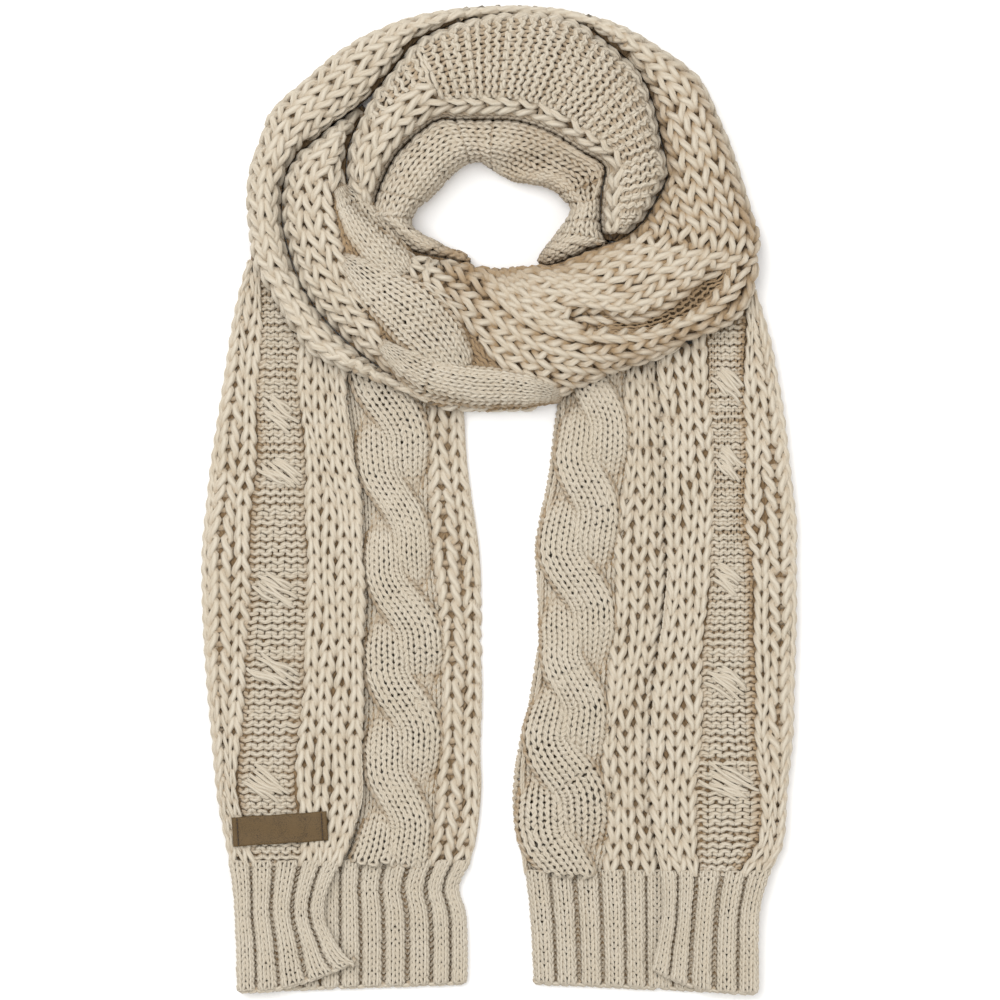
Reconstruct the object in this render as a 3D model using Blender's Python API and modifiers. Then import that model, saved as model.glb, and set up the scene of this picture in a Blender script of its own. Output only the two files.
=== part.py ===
# A chunky cable-knit scarf, wound one and a half times into a ring, laid flat with both ends
# hanging straight from the ring. The ends are folded lengthwise, so each is a panel with a
# turned-over flap. Tables are in millimetres, +X right, +Y towards the back of the neck, +Z up.

import math

import bmesh
import bpy
import numpy as np
from mathutils import Matrix, Vector
from mathutils.geometry import delaunay_2d_cdt

MM = 0.001

# Driving sizes, in millimetres
CLOTH = 5.5  # the knit's own thickness
FOLD_AIR = 0.6  # between the flap and the panel it lies on
SEAM = 0.4  # between neighbouring stretches of the ring
RIB_PITCH = 10.5  # one rib and its groove, in the long stretches
RIB_RISE = 1.3
CUFF_PITCH = 13.8  # the broad ribs at both ends
CUFF_RISE = 1.6
CABLE_RISE = 4.5
CABLE_PITCH = 58.0  # from one crossing to the next
STATION = 6.0  # degrees between the ring's sections
END_STEP = 11.0  # between the sections of an end
LIP = 4.0  # how far the ring overhangs the ends that come out from under it
LIP_SLOPE = 0.6  # the lip's underside is this much lower at its foot and higher at its edge
LIP_AIR = 2.0  # between an end and the ring's foot, less where the foot bows out
FOOT_INSET = 2.4  # of a free side's rounded foot, and of the knee above it
KNEE_INSET = 0.8
KNEE_HEIGHT = 2.8
SHOULDER = 1.6  # from a section's edge to the first point of its top
CAP_STRETCH = 3.0  # an end's thickness over its width where its caps are filled
DOME_POWER = 2.4  # of a stretch's crown between its sides, 2 being an ellipse
LEAST_TOP = 3.0
SLIVER = 0.25  # least distance between neighbouring points of a section
MIDDLE = np.array((-7.0, 167.0))  # of the neck hole
LABEL_SIZE = (57.0, 17.5, 1.2)
LABEL_PLACE = (-132.0, -197.3, 3.6)  # x, y and the turn in degrees
LABEL_AIR = 0.3  # under the label
LABEL_ROUND = 0.45

YARN = (0.72, 0.64, 0.50, 1)
LABEL_BROWN = (0.26, 0.15, 0.075, 1)
COLLECTION = "knit_scarf"

# Edges and creases of the wound ring in plan, rows of (x, y)
RING_EDGE = (
    (-18, 52), (-36, 53.5), (-62, 65), (-101, 79), (-119.5, 91), (-133, 113), (-143, 128.5),
    (-150, 143), (-152.5, 161), (-153.5, 180), (-152, 198), (-145, 218.5), (-140, 232),
    (-131, 242.5), (-120.5, 251), (-104, 266), (-84, 279), (-62.5, 288.5), (-39.5, 294.5),
    (-12, 297.5), (12, 298), (36, 296), (59.5, 291), (78, 284), (97, 272.5), (111, 263),
    (122, 253), (130, 237), (140, 213), (147, 192), (153, 173), (158, 161), (157, 147),
    (155.5, 132.5), (152, 120), (144, 107), (132, 99), (118, 94), (96, 83), (66, 72.5),
    (45, 63), (24.5, 53.5), (12, 52), (-6, 52), (-23, 52),
)
NECK_HOLE = (
    (-13, 143), (-18, 147.5), (-23.5, 151), (-30, 152.5), (-38, 157), (-45, 160),
    (-50.5, 164), (-51.5, 167.5), (-48, 174.5), (-40, 180.5), (-29.5, 192), (-24, 197),
    (-17.5, 201), (-12, 201), (-7, 198), (7, 190), (18, 188.5), (26.5, 186.5), (32.5, 183.5),
    (38, 178), (41, 174), (37, 167), (30, 158), (24, 150), (20, 144), (12, 141.5), (1, 140.5),
    (-13, 143),
)
FIRST_CREASE = (  # between the outer turn and the second one beside it, going up the left side
    (-17, 53.5), (-42, 62), (-66, 75), (-90, 93), (-108, 111.5), (-119.5, 129.5), (-127, 150),
    (-131, 170), (-129.5, 191), (-123.5, 205), (-111.5, 215.5), (-98.5, 227), (-84, 237.5),
    (-75.5, 245),
)
COLLAR_OUTSIDE = (
    (-69.5, 252), (-61, 263), (-49, 276), (-36, 282.5), (-23, 287.5), (-6, 291.5), (12, 294),
    (27, 293), (39, 290.5), (54, 283), (66, 273), (77, 264), (84.5, 254.5), (90, 243),
    (94, 228), (98, 210), (101, 195), (97, 186), (91, 175), (84, 165), (73, 156.5),
)
FRONT_LIP = (  # the front stretch's inner edge, from the collar's end round below the hole
    (65.5, 154), (54, 150), (45, 146), (37, 143), (29, 141), (20, 142), (12, 141.5),
    (1, 140.5), (-13, 142), (-24, 143.5), (-36, 146), (-45, 147.5), (-53, 150), (-60, 156),
    (-69, 163),
)
COLLAR_LEFT = (
    (-76, 168.5), (-83, 174), (-89, 181), (-92, 192), (-92, 204), (-89.5, 216.5), (-84, 228),
    (-78, 240), (-75.5, 245),
)
COLLAR_INSIDE = (
    (-76, 168.5), (-75, 176.5), (-72.5, 186), (-67, 198.5), (-60, 209), (-49, 219.5),
    (-36.5, 227.5), (-26.5, 227.5), (-12, 227.5), (6, 227), (21, 224), (36, 217), (48, 209),
    (62.5, 200), (61, 186), (60, 171), (61, 159), (65.5, 154),
)
CABLE_OUTSIDE = (  # of the cable in the front stretch
    (-23, 53), (-42, 59), (-57, 69), (-67, 83), (-77, 97), (-87, 114), (-95.5, 132),
    (-99.5, 147), (-101, 161), (-100, 177), (-97, 185),
)
CABLE_INSIDE = (
    (39.5, 60.5), (27, 65.5), (12, 79), (-3.5, 97), (-16, 117), (-27, 126), (-36, 131.5),
    (-48, 137), (-57, 143), (-62.5, 150), (-68, 159),
)
LONG_CREASE = (
    (155, 143), (151, 134), (147, 121), (132, 110), (114, 103), (96, 97), (79, 93.5),
    (60.5, 91), (48, 93), (36, 95.5), (24, 99.5), (14, 104), (0, 116), (-12, 125.5),
    (-23, 133), (-31, 138), (-37, 143),
)

# Soft troughs pressed into the ring: plan run, depth and half width
FRONT_POCKET = ((48, 109), (68, 105), (81.5, 104), (99, 109), (114, 118), (128.5, 132.5))
NECK_POCKET = ((3, 200), (24, 201), (42, 199), (52, 190))
TROUGHS = ((FRONT_POCKET, 9.0, 5.0), (NECK_POCKET, 8.0, 8.0))

# The front cable's three visible bends: x, y, half length, half width, heading in degrees, rise
BENDS = (
    (-80.5, 161.0, 26.0, 19.0, -52.0, 3.5),
    (-47.5, 110.5, 34.0, 25.0, -50.0, 4.5),
    (-15.0, 68.0, 46.0, 15.0, -6.0, 4.0),
)

# Turns are in degrees, clockwise from +Y about MIDDLE. The wrap goes on past 180 for its second
# time round, so its left side has a first turn outside and a second one beside it.
WRAP_STARTS = -170.0
SECOND_TURN = 189.8
COLLAR_STARTS = -86.0
COLLAR_MEETS_WRAP = -41.2
COLLAR_ENDS = 98.5
COLLAR_TIP = 99.8  # where its two edges would meet
NECK_STARTS = -156.0
NECK_ENDS = 129.0
WRAP_ENDS = 313.0
WRAP_SPLIT = 102.0  # where the back stretch of the wrap hands over to the front one
SPLIT_GAP = 0.15
HOLE_TURNS = (130.0, 200.0)  # where the front stretch itself edges the neck hole
SHARED_TURNS = (
    WRAP_STARTS, COLLAR_STARTS, COLLAR_MEETS_WRAP, COLLAR_ENDS, NECK_STARTS, NECK_ENDS,
    WRAP_SPLIT, WRAP_ENDS - 360,
)

# Heights round the ring, rows of (turn, crown, outer side, inner side)
WRAP_HEIGHTS = (
    (-176, 27, 18, 17), (-160, 30, 18, 18), (-140, 32, 18, 19), (-100, 32, 17, 20),
    (-92, 31, 9, 20), (-60, 30, 8, 18), (-30, 27, 8, 17), (0, 22, 8, 15), (30, 28, 8, 17),
    (60, 34, 8, 20), (92, 37, 9, 22), (101, 38, 17, 22), (125, 39, 18, 20), (148, 36, 16, 14),
    (158, 34, 13, 11), (170, 31, 9, 9), (183, 31, 12, 9), (192, 34, 18, 9), (215, 39, 20, 15),
    (250, 38, 20, 19), (271, 35, 20, 18), (290, 33, 18, 17), (302, 29, 15, 15),
    (309, 14, 9, 9), (318, 9, 7, 7),
)
COLLAR_HEIGHTS = (
    (-88, 21, 16, 14), (-75, 28, 17, 16), (-60, 33, 18, 18), (-30, 38, 17, 20),
    (0, 41, 15, 22), (35, 42, 18, 22), (60, 40, 20, 20), (85, 36, 21, 19), (99, 25, 17, 15),
)
NECK_HEIGHTS = (
    (-165, 13, 9, 5), (-140, 18, 12, 5), (-100, 26, 16, 6), (-60, 31, 18, 6), (-20, 32, 22, 6),
    (10, 31, 22, 6), (45, 27, 22, 6), (62, 25, 20, 6), (80, 30, 18, 6), (105, 27, 16, 6),
    (131, 14, 10, 5),
)
# The height that the ring's outer wall clears, where an end lies below its lip: turn, height
END_TOPS = (
    (-180, 0), (-175, 7.3), (-164, 7.3), (-160, 10.4), (-142, 10.4), (-138, 13.3), (-95, 13.3),
    (-90, 0), (90, 0), (95, 13.3), (132, 13.3), (136, 10.4), (152, 10.4), (156, 8), (160, 8),
    (165, 0), (180, 0),
)

# The two ends, from under the ring to the bottom hem. A row holds the height on the page and
# the x of: the fold, the purl panel's two edges, the flap's free edge, the cable's two edges
# and the panel's free edge.
LEFT_ROWS = (
    (143, -152, -144, -121, -97, -89, -43, -22), (110, -160, -144, -120, -95, -89, -43, -22),
    (71, -166, -145, -120, -92, -88.5, -43, -22), (26, -173, -146, -117.5, -88, -85, -44, -20),
    (0, -176, -148, -117, -83, -80.5, -43.5, -16.5), (-36, -179, -151, -116.5, -83, -80.5, -42, -12),
    (-90, -177.5, -152, -116, -82, -80, -35.5, -10.5), (-150, -172.5, -156, -122, -82, -80, -37, -11),
    (-180, -169.5, -157, -122.5, -83.5, -80.5, -40, -11.5), (-212, -163.5, -150, -120, -94, -86, -44, -16),
    (-232, -160, -142, -124, -103, -98, -44, -25), (-248, -159, -141, -124, -106, -102, -44, -21),
    (-268, -158, -140, -122, -101, -97, -44, -20), (-297, -157.5, -140, -121, -98, -94, -44, -20.5),
)
RIGHT_ROWS = (
    (140, 149, 142, 120, 95, 84, 43, 43), (126, 153.5, 147, 122, 95, 84, 43, 43),
    (98, 162, 147, 124, 95, 77, 40, 38),
    (78, 166, 147, 126, 95, 76, 40, 37), (52, 170.5, 148, 127, 98.5, 76, 38, 36),
    (13, 175, 147, 128, 99.5, 75, 32, 31), (-13, 178, 147, 128, 99.5, 70, 27, 25.5),
    (-32, 178, 150, 126, 99.5, 68, 24.5, 23), (-70, 178, 152, 124, 98.5, 68, 25, 24),
    (-88, 177.5, 153, 122.5, 96, 67, 26, 25), (-122, 176.5, 153.5, 121.5, 91, 64, 21, 19),
    (-141, 176, 153.5, 121.5, 90.5, 62, 16, 14.5), (-175, 172.5, 158, 117, 90.5, 63, 12.5, 11),
    (-206, 170, 154, 117, 92.5, 63, 13.5, 12), (-226, 160.5, 142, 120, 97, 60, 20, 14.5),
    (-248, 155, 139, 119, 97.5, 60, 22, 17), (-271, 154.5, 139, 119, 95.5, 60, 23, 18.5),
    (-295, 154.5, 139, 118, 95, 60, 24, 19.5),
)
LEFT_CROSSINGS = (115, 57, -1, -62, -121, -179)  # where the cable's strands cross
RIGHT_CROSSINGS = (120, 63, 8.5, -48, -110, -161)

# What differs between the ends: rows, crossings, ribs before and after the cable, where the
# cuff starts, the first cuff crests from the fold and from the free edge, the hem's two points
# and the turns of the ring's lip that the end comes out from under
ENDS = {
    "left_end": {
        "rows": LEFT_ROWS, "crossings": LEFT_CROSSINGS, "ribs": (0, 2), "cuff": -219.0,
        "crests": (6.5, 0.0), "hem": ((-160, -296.5), (-20, -291)), "lip": (-175, -97),
    },
    "right_end": {
        "rows": RIGHT_ROWS, "crossings": RIGHT_CROSSINGS, "ribs": (3, 0), "cuff": -225.0,
        "crests": (5.0, 7.0), "hem": ((19, -291), (155, -297)), "lip": (99, 160),
    },
}


def smooth_run(rows, steps=6):
    """Catmull-Rom curve through the rows, every column alike."""
    given = np.array(rows, float)
    ends = np.vstack([2 * given[0] - given[1], given, 2 * given[-1] - given[-2]])
    t = np.linspace(0, 1, steps, endpoint=False)[:, None]
    runs = []
    for a, b, c, d in zip(ends, ends[1:], ends[2:], ends[3:]):
        bend = (2 * a - 5 * b + 4 * c - d) * t**2 + (3 * b - a - 3 * c + d) * t**3
        runs.append(0.5 * (2 * b + (c - a) * t + bend))
    return np.vstack(runs + [given[-1:]])


def reach_by_turn(points, first_turn):
    """The turns and distances from MIDDLE along an edge whose first point is near first_turn."""
    offset = smooth_run(points) - MIDDLE
    turns = np.degrees(np.unwrap(np.arctan2(offset[:, 0], offset[:, 1])))
    turns += 360 * round((first_turn - turns[0]) / 360)
    reach = np.hypot(offset[:, 0], offset[:, 1])
    order = np.argsort(turns)
    return turns[order], reach[order]


OUTER_RUN = reach_by_turn(RING_EDGE, -175)
INNER_RUN = reach_by_turn(FIRST_CREASE + COLLAR_OUTSIDE + FRONT_LIP + COLLAR_LEFT, -175)
HOLE_RUN = reach_by_turn(NECK_HOLE, -166)
COLLAR_RUN = reach_by_turn(COLLAR_INSIDE, -88)
CABLE_OUT_RUN = reach_by_turn(CABLE_OUTSIDE, 188)
CABLE_IN_RUN = reach_by_turn(CABLE_INSIDE, 156)
CREASE_RUN = reach_by_turn(LONG_CREASE, 98)


def ring_edge(turn):
    """Distance to the ring's outline."""
    return float(np.interp((turn + 172) % 360 - 172, *OUTER_RUN))


def hole_edge(turn):
    """Distance to the neck hole's edge."""
    return float(np.interp((turn + 166) % 360 - 166, *HOLE_RUN))


def wrap_inner(turn):
    """Inner edge of the long wrap, which winds from -170 to 318 degrees."""
    return float(np.interp(turn, *INNER_RUN))


def wrap_outer(turn):
    """Its outer edge: the ring's outline, then the crease beside its own first turn."""
    return ring_edge(turn) if turn < SECOND_TURN else wrap_inner(turn - 360)


def collar_outer(turn):
    if turn < COLLAR_MEETS_WRAP:
        return min(wrap_inner(turn), wrap_inner(turn + 360))
    return wrap_inner(turn)


def collar_inner(turn):
    return float(np.interp(turn, *COLLAR_RUN))


def neck_outer(turn):
    if turn < COLLAR_STARTS:
        return wrap_inner(turn + 360)
    return collar_inner(turn) if turn < COLLAR_TIP else wrap_inner(turn)


def plan_points(turn, reach):
    angle = math.radians(turn)
    return MIDDLE + np.outer(reach, (math.sin(angle), math.cos(angle)))


def trough_depth(points):
    """Depth of the ring's soft troughs at plan points."""
    depth = np.zeros(len(points))
    for run, deep, half in TROUGHS:
        away = np.linalg.norm(points[:, None] - smooth_run(run)[None], axis=2).min(axis=1)
        depth += deep * np.exp(-((away / half) ** 2))
    return depth


def bend_rise(points):
    """Rise of the front cable's bends at plan points, each a rounded leaf."""
    rise = np.zeros(len(points))
    for x, y, half_length, half_width, heading, high in BENDS:
        angle = math.radians(heading)
        dx, dy = (points - (x, y)).T
        along = (dx * math.cos(angle) + dy * math.sin(angle)) / half_length
        across = (dy * math.cos(angle) - dx * math.sin(angle)) / half_width
        rise = np.maximum(rise, high * np.sqrt(np.clip(1 - along**2 - across**2, 0, 1)))
    return rise


def even_ribs(start, end, count):
    """Crests and grooves of count ribs from start to end, as places and heights."""
    share = np.arange(1, 2 * count + 1) / (2 * count)
    rise = RIB_RISE * min(1.0, abs(end - start) / count / RIB_PITCH)
    return start + (end - start) * share, rise * -np.cos(np.arange(1, 2 * count + 1) * math.pi)


def pitched_ribs(start, limit, count):
    """Crests and grooves inwards from start at RIB_PITCH, squeezed together at limit."""
    steps = start - RIB_PITCH / 2 * np.arange(1, count + 1)
    least = limit + min(SLIVER, (start - limit) / 2 / count) * np.arange(count, 0, -1)
    wave = -RIB_RISE * np.cos(np.arange(1, count + 1) * math.pi)
    return np.maximum(steps, least), np.where(steps > least, wave, 0.0)


def first_turn_samples(high, low, _turn):
    """Places and relief across the first turn: ribs parallel to its outer edge."""
    return pitched_ribs(high, low, 13)


def front_samples(high, low, turn):
    """Places and relief across the front: side ribs, cable, ribs outside the long crease and
    ribs inside it. Each group is squeezed against its neighbour where it runs out."""
    group = 6 * min(SLIVER, (high - low) / 60)
    cable_out = np.interp(turn, *CABLE_OUT_RUN, left=1e3, right=0)
    cable_in = np.interp(turn, *CABLE_IN_RUN, left=1e3, right=0)
    crease = np.interp(turn, *CREASE_RUN, left=1e3, right=0)
    cable_out = float(np.clip(cable_out, low + 5 * group, high - group))
    cable_in = float(np.clip(cable_in, low + 4 * group, cable_out - group))
    crease = float(np.clip(crease, low + 3 * group, cable_in - group))
    side, side_rise = even_ribs(high, cable_out, 3)
    share = np.arange(1, 7) / 6
    cable = cable_out + (cable_in - cable_out) * share
    swell = 2.0 * (1 - np.abs(2 * share - 1) ** 2.5) * min(1.0, (cable_out - cable_in) / 20)
    outside, outside_rise = even_ribs(cable_in, crease, 3)
    inside, inside_rise = pitched_ribs(crease, low, 18)
    places = np.concatenate([side, cable, outside, inside])
    return places, np.concatenate([side_rise, swell, outside_rise, inside_rise])


def plain_samples(high, low, _turn):
    """Eight places across a stretch with no ribs, closer together near both sides."""
    share = 0.5 - 0.5 * np.cos(np.arange(1, 9) / 9 * math.pi)
    return high + (low - high) * share, np.zeros(8)


def lip_share(clear):
    """How much of the full lip an outer wall has, from the height that it clears."""
    return min(1.0, clear / 7)


def side_points(edge, inward, side, kind, clear):
    """Three points of a section's side, from its foot up: a wall that stands against its
    neighbour, the hole's round side, or the outline, which overhangs whatever it clears."""
    if kind == "wall":
        return [(edge, 0), (edge, side / 2), (edge, side)]
    if kind == "hole":
        knee = (edge + KNEE_INSET * inward, KNEE_HEIGHT)
        return [(edge + FOOT_INSET * inward, 0), knee, (edge, side)]
    share = lip_share(clear)
    foot = FOOT_INSET + (LIP - FOOT_INSET) * share
    knee = KNEE_INSET + (LIP - KNEE_INSET) * share
    knee_height = KNEE_HEIGHT + (clear - LIP_SLOPE - KNEE_HEIGHT) * share
    return [(edge + foot * inward, 0), (edge + knee * inward, knee_height), (edge, side)]


def ring_section(turn, stretch):
    """One radial section as (reach, height) rows, from its outer foot over to its inner one."""
    outer = stretch["outer"](turn) - SEAM / 2
    inner = stretch["inner"](turn) + SEAM / 2
    width = outer - inner
    turns, crowns, outer_sides, inner_sides = np.array(stretch["heights"], float).T
    crown = float(np.interp(turn, turns, crowns))
    outer_kind, inner_kind = stretch["kinds"](turn)
    clear = float(np.interp((turn + 180) % 360 - 180, *np.array(END_TOPS, float).T))
    outer_side = float(np.interp(turn, turns, outer_sides))
    if outer_kind == "outline":
        outer_side += (clear + LIP_SLOPE - outer_side) * lip_share(clear)
    inner_side = float(np.interp(turn, turns, inner_sides))
    shoulder = min(SHOULDER, width / 6)
    places, relief = stretch["samples"](outer - shoulder, inner + shoulder, turn)
    places = np.concatenate([[outer - shoulder], places, [inner + shoulder]])
    relief = np.concatenate([[0], relief, [0]])
    share = (outer - places) / width
    side = outer_side + (inner_side - outer_side) * share
    dome = np.sqrt(np.clip(1 - np.abs(2 * share - 1) ** DOME_POWER, 0, 1))
    rise = (crown - side) * min(1.0, width / 15)
    points = plan_points(turn, places)
    if stretch["bends"]:
        relief = relief + bend_rise(points)
    fade = np.clip(np.minimum(share, 1 - share) * width / 5, 0, 1)
    tops = np.maximum(side + rise * dome + (relief - trough_depth(points)) * fade, LEAST_TOP)
    first = side_points(outer, -1, outer_side, outer_kind, clear)
    last = side_points(inner, 1, inner_side, inner_kind, 0)
    return np.array(first + list(zip(places, tops)) + last[::-1])


def stations(start, end):
    """The turns of the sections between two turns, common to all the stretches."""
    regular = np.arange(-180, 361, STATION)
    shared = np.concatenate([SHARED_TURNS, np.array(SHARED_TURNS) + 360])
    inside = [turn for turn in np.concatenate([regular, shared]) if start < turn < end]
    return [start] + sorted(set(inside)) + [end]


def cap_faces(form):
    """Triangles between near points that fill a flat outline."""
    outline = [Vector(point) for point in form]
    area = np.sum(form[:, 0] * np.roll(form[:, 1], -1) - np.roll(form[:, 0], -1) * form[:, 1])
    order = range(len(outline))[:: 1 if area > 0 else -1]
    _, _, faces, corners, _, sources = delaunay_2d_cdt(outline, [], [order], 0, 1e-6, True)
    inside = [face for face, source in zip(faces, sources) if source]
    return [[corners[corner][0] for corner in face] for face in inside]


def loft(name, sections, first_form, last_form, material):
    """A closed body through sections with equal point counts, as (section, point, xyz) in
    millimetres. A form holds an end section flat, for filling its cap."""
    count, size = sections.shape[:2]
    faces = []
    for row in range(count - 1):
        for column in range(size):
            a = row * size + column
            b = row * size + (column + 1) % size
            faces.append((a, b, b + size, a + size))
    for form, start in ((first_form, 0), (last_form, (count - 1) * size)):
        faces += [[start + corner for corner in face] for face in cap_faces(form)]
    mesh = bpy.data.meshes.new(name)
    mesh.from_pydata((sections.reshape(-1, 3) * MM).tolist(), [], faces)
    body = bmesh.new()
    body.from_mesh(mesh)
    bmesh.ops.recalc_face_normals(body, faces=body.faces)
    if body.calc_volume(signed=True) < 0:
        bmesh.ops.reverse_faces(body, faces=body.faces)
    body.to_mesh(mesh)
    body.free()
    mesh.shade_smooth()
    mesh.set_sharp_from_angle(angle=math.radians(50))
    mesh.materials.append(material)
    return add_object(name, mesh)


def add_object(name, mesh):
    scarf = bpy.data.objects.new(name, mesh)
    bpy.data.collections[COLLECTION].objects.link(scarf)
    return scarf


def ring_stretch(name, stretch, material):
    """One stretch of the ring, lofted through its radial sections."""
    sections = []
    forms = []
    for turn in stations(*stretch["turns"]):
        section = ring_section(turn, stretch)
        plan = plan_points(turn, section[:, 0])
        sections.append(np.column_stack([plan, section[:, 1]]))
        forms.append(section)
    return loft(name, np.array(sections), forms[0], forms[-1], material)


def rope_rise(across, height, crossings):
    """Height share of a two-strand cable. Each strand runs down the left, crosses over to the
    right at its crossing and dips under the next one; across runs from -1 on the left to 1."""
    rise = np.zeros(len(across))
    for crossing in crossings:
        along = (crossing - height) / CABLE_PITCH
        centre = 0.5 * np.sin(np.clip(along / 0.32, -1, 1) * math.pi / 2)
        strand = np.sqrt(np.clip(1 - ((across - centre) / 0.56) ** 2, 0, 1))
        rise = np.maximum(rise, strand * np.sqrt(np.clip((0.85 - np.abs(along)) / 0.3, 0, 1)))
    return rise


def end_points(ribs_before, ribs_after):
    """The points round an end's folded section, each a dictionary: the two columns it lies
    between and the share, an offset away from the fold, its height and its kind of relief."""
    names = ("fold", "purl_out", "purl_in", "flap", "cable_out", "cable_in", "edge")
    column = {name: place + 1 for place, name in enumerate(names)}
    points = []

    def add(first, last, share, offset, height, kind="plain", wave=0.0):
        points.append((column[first], column[last], share, offset, height, kind, wave))

    def run(first, last, count, height, kind, ribbed, skip_last=False, offset=0.0):
        for step in range(1, count + 1 - skip_last):
            wave = (1.0 if step % 2 else -1.0) if ribbed else 0.0
            share = step / count
            add(first, last, share, offset * (1 - share), height, kind, wave)

    top = 2 * CLOTH + FOLD_AIR
    add("fold", "fold", 0, 0, top / 2)
    add("fold", "fold", 0, 1.0, top / 2 + 3.8)
    add("fold", "fold", 0, 3.0, top - 0.4)
    run("fold", "purl_out", 4, top, "flap", True, offset=3.0)
    run("purl_out", "purl_in", 4, top, "flap", False)
    run("purl_in", "flap", 6, top, "flap", True, skip_last=True)
    add("flap", "flap", 0, -0.9, top - 0.7)
    add("flap", "flap", 0, 0, top - CLOTH / 2)
    add("flap", "flap", 0, -0.9, top - CLOTH + 0.6)
    for share in (0.5, 0):
        add("purl_in", "flap", share, 0, CLOTH + FOLD_AIR)
    for share in (0.5, 0):
        add("purl_out", "purl_in", share, 0, CLOTH + FOLD_AIR)
    add("fold", "fold", 0, 4.5, CLOTH + FOLD_AIR / 2)
    for share in (0, 0.5):
        add("purl_out", "purl_in", share, 0, CLOTH)
    for share in (0, 0.5):
        add("purl_in", "flap", share, 0, CLOTH)
    add("flap", "flap", 0, -2, CLOTH)
    if ribs_before:
        run("flap", "cable_out", 2 * ribs_before, CLOTH, "panel", True)
    else:
        add("flap", "cable_out", 1, 0, CLOTH, "panel", -0.5)
    run("cable_out", "cable_in", 7, CLOTH, "cable", False)
    if ribs_after:
        run("cable_in", "edge", 2 * ribs_after, CLOTH, "panel", True, skip_last=True)
    add("edge", "edge", 0, -0.9, CLOTH - 0.5)
    add("edge", "edge", 0, 0, CLOTH / 2)
    add("edge", "edge", 0, -0.8, 0.7)
    add("edge", "edge", 0, -2.5, 0)
    for share in (0.15, 0.5, 1):
        add("cable_in", "cable_out", share, 0, 0)
    for share in (0, 0.5):
        add("flap", "purl_in", share, 0, 0)
    for share in (0, 0.5, 1):
        add("purl_in", "purl_out", share, 0, 0)
    add("fold", "fold", 0, 3.0, 0)
    add("fold", "fold", 0, 0.9, 2.3)
    return points


def lip_line(turns):
    """Where an end stops under the ring's lip: plan points just outside the ring's foot."""
    spots = [
        plan_points(turn, [ring_edge(turn) - SEAM / 2 - LIP + LIP_AIR])[0]
        for turn in stations(*turns)
    ]
    return np.array(sorted(spots, key=lambda spot: spot[0]))


def scarf_end(name, shape, material):
    """One hanging end: a panel with a flap turned over along its fold, cable, ribs and cuff."""
    dense = smooth_run(shape["rows"])[::-1]
    lip = lip_line(shape["lip"])
    start = float(lip[:, 1].min())
    hem = np.array(shape["hem"])
    bottom = float(hem[:, 1].mean())
    cuff = shape["cuff"]
    levels = np.concatenate([
        np.linspace(start, cuff + 6, round((start - cuff) / END_STEP)),
        np.linspace(cuff - 2, bottom, 6),
    ])
    points = end_points(*shape["ribs"])
    first, last = (np.array([point[key] for point in points]) for key in (0, 1))
    share, offset, height, wave = (
        np.array([point[key] for point in points], float) for key in (2, 3, 4, 6)
    )
    kind = np.array([point[5] for point in points])
    away = 1.0 if shape["rows"][0][1] < 0 else -1.0
    sections = []
    for level in levels:
        hang = np.clip((level - start + 150) / 150, 0, 1)
        drop = np.clip((start - 330 - level) / 20, 0, 1)
        tall = np.full(len(points), level)
        for _ in range(30):
            table = np.array([np.interp(tall, dense[:, 0], dense[:, c]) for c in range(8)])
            from_x = table[first, np.arange(len(points))]
            to_x = table[last, np.arange(len(points))]
            x = from_x + (to_x - from_x) * share + offset * away
            lift = np.interp(x, lip[:, 0], lip[:, 1]) - start
            sag = np.interp(x, hem[:, 0], hem[:, 1]) - bottom
            tall += 0.35 * (level + lift * hang + sag * drop - tall)
        cuffed = float(np.clip((cuff + 4 - level) / 8, 0, 1))
        x = x + (even_places(x, table, kind) - x) * cuffed
        rise = end_relief(x, tall, table, kind, wave, shape, cuffed)
        sections.append(np.column_stack([x, tall, height + rise]))
    sections = np.array(sections)
    forms = sections[:, :, (0, 2)] * (1, CAP_STRETCH)
    return loft(name, sections, forms[0], forms[-1], material)


def even_places(x, table, kind):
    """Each relief point's place where it is spread evenly over its layer, as in the cuff."""
    places = x.copy()
    flap = np.flatnonzero(kind == "flap")
    panel = np.flatnonzero((kind == "panel") | (kind == "cable"))
    fold_x, flap_x, edge_x = table[1], table[4], table[7]
    for group, start_x, end_x in ((flap, fold_x, flap_x), (panel, flap_x, edge_x)):
        share = (np.arange(len(group)) + 0.8) / (len(group) + 0.6)
        places[group] = start_x[group] + (end_x[group] - start_x[group]) * share
    return places


def end_relief(x, tall, table, kind, wave, shape, cuffed):
    """Relief of an end's section: ribs and cable above the cuff, broad ribs in it."""
    left = np.minimum(table[5], table[6])
    right = np.maximum(table[5], table[6])
    across = np.clip(2 * (x - left) / (right - left) - 1, -1, 1)
    rope = CABLE_RISE * rope_rise(across, tall, shape["crossings"])
    body = np.where(kind == "cable", rope, wave * RIB_RISE)
    from_fold, from_edge = shape["crests"]
    flap_wave = np.cos((np.abs(x - table[1]) - from_fold) / CUFF_PITCH * 2 * math.pi)
    panel_wave = np.cos((np.abs(x - table[7]) - from_edge) / CUFF_PITCH * 2 * math.pi)
    broad = CUFF_RISE * np.where(kind == "flap", flap_wave, panel_wave)
    return np.where(kind == "plain", 0.0, body * (1 - cuffed) + broad * cuffed)


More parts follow.
